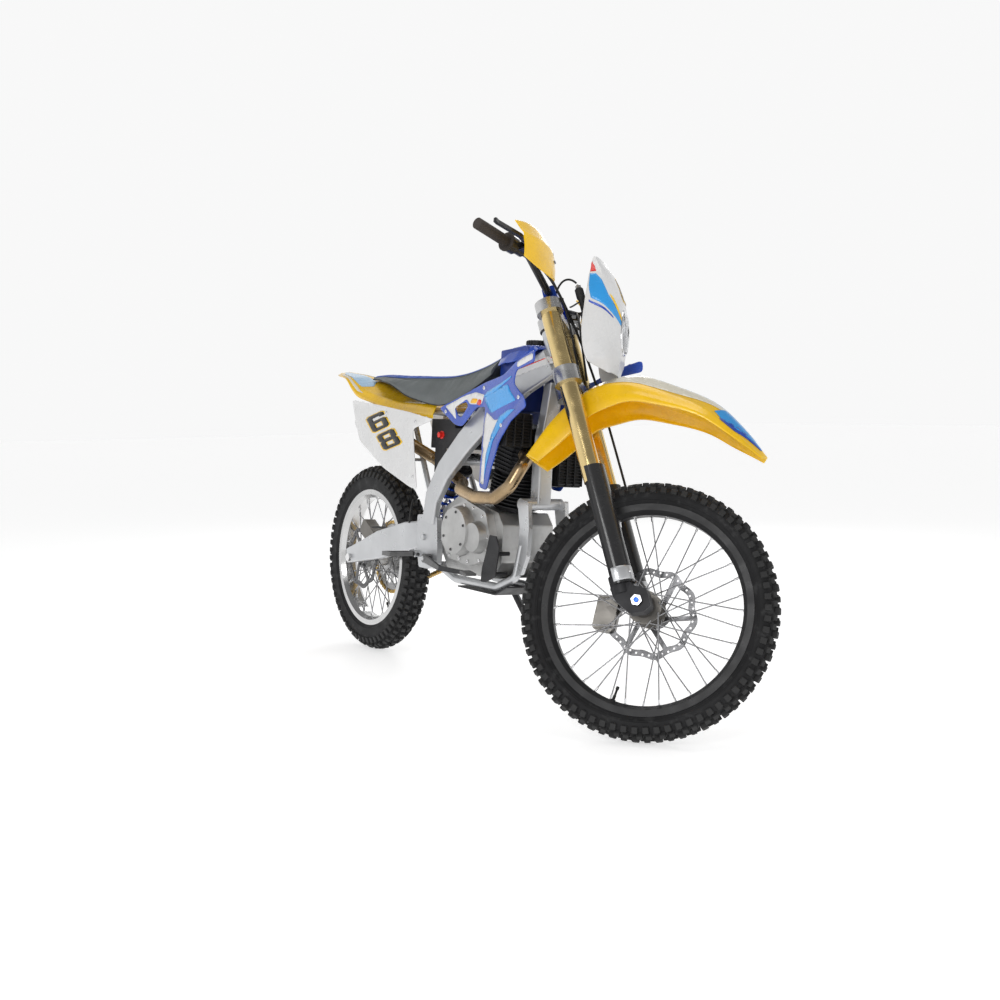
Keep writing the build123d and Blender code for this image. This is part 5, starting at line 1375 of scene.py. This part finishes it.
# ---- stage -----------------------------------------------------------------------------------------
FLOOR_REACH, FLOOR_HEIGHT = 30, -0.0005
FLOOR_GREY, FLOOR_GLOW = 0.8, 0.56
corners = [(FLOOR_REACH * x, FLOOR_REACH * y, FLOOR_HEIGHT) for x, y in ((-1, -1), (1, -1), (1, 1), (-1, 1))]
floor_data = bpy.data.meshes.new("floor")
floor_data.from_pydata(corners, [], [(0, 1, 2, 3)])
floor = bpy.data.objects.new("floor", floor_data)
bpy.context.scene.collection.objects.link(floor)
floor_finish = bpy.data.materials.new("pale_floor")
floor_finish.use_nodes = True
shader = floor_finish.node_tree.nodes["Principled BSDF"]
shader.inputs["Base Color"].default_value = (FLOOR_GREY, FLOOR_GREY, FLOOR_GREY, 1)
shader.inputs["Roughness"].default_value = 0.7
shader.inputs["Emission Color"].default_value = (1, 1, 1, 1)
shader.inputs["Emission Strength"].default_value = FLOOR_GLOW
floor_data.materials.append(floor_finish)

# The backdrop is near white up to the first height of the sky, and fades to a dim ceiling at the second.
SKY_FADE = {"From Min": 0.34, "From Max": 0.66, "To Min": 0.94, "To Max": 0.26}
world = bpy.data.worlds.new("studio")
world.use_nodes = True
nodes, links = world.node_tree.nodes, world.node_tree.links
direction = nodes.new("ShaderNodeTexCoord")
split = nodes.new("ShaderNodeSeparateXYZ")
links.new(direction.outputs["Generated"], split.inputs[0])
fade = nodes.new("ShaderNodeMapRange")
for key, number in SKY_FADE.items():
    fade.inputs[key].default_value = number
links.new(split.outputs["Z"], fade.inputs["Value"])
links.new(fade.outputs["Result"], nodes["Background"].inputs["Strength"])
nodes["Background"].inputs["Color"].default_value = (1.0, 1.0, 1.0, 1)
bpy.context.scene.world = world


def soft_light(name, spot, aim, size, power):
    """A square studio panel of light."""
    lamp_data = bpy.data.lights.new(name, "AREA")
    lamp_data.size = size
    lamp_data.energy = power
    made = bpy.data.objects.new(name, lamp_data)
    bpy.context.scene.collection.objects.link(made)
    made.location = spot
    made.rotation_mode = "QUATERNION"
    made.rotation_quaternion = (Vector(aim) - Vector(spot)).to_track_quat("-Z", "Y")


soft_light("overhead", (0.2, 0.4, 3.6), (0, 0, 0.4), 2.0, 26)
soft_light("front_side", (2.4, -3.4, 2.6), (0.2, 0, 0.6), 1.2, 38)
soft_light("rear_side", (-3.0, 2.6, 2.6), (-0.2, 0, 0.6), 1.4, 30)

# ---- camera ----------------------------------------------------------------------------------------
CAMERA_PLACE = (3.893, -2.080, 0.761)
yaw, pitch, roll = (math.radians(a) for a in (146.28, -2.66, 2.84))
forward = Vector((math.cos(pitch) * math.cos(yaw), math.cos(pitch) * math.sin(yaw), math.sin(pitch)))
level_right = forward.cross(Vector((0, 0, 1))).normalized()
level_up = level_right.cross(forward)
right = level_right * math.cos(roll) + level_up * math.sin(roll)
up = -level_right * math.sin(roll) + level_up * math.cos(roll)
aim = Matrix((right, up, -forward)).transposed().to_4x4()
aim.translation = CAMERA_PLACE
camera_data = bpy.data.cameras.new("camera")
camera_data.lens = 44.0
camera = bpy.data.objects.new("camera", camera_data)
bpy.context.scene.collection.objects.link(camera)
camera.matrix_world = PARKED @ aim
bpy.context.scene.camera = camera
bpy.context.scene.view_settings.view_transform = "Standard"
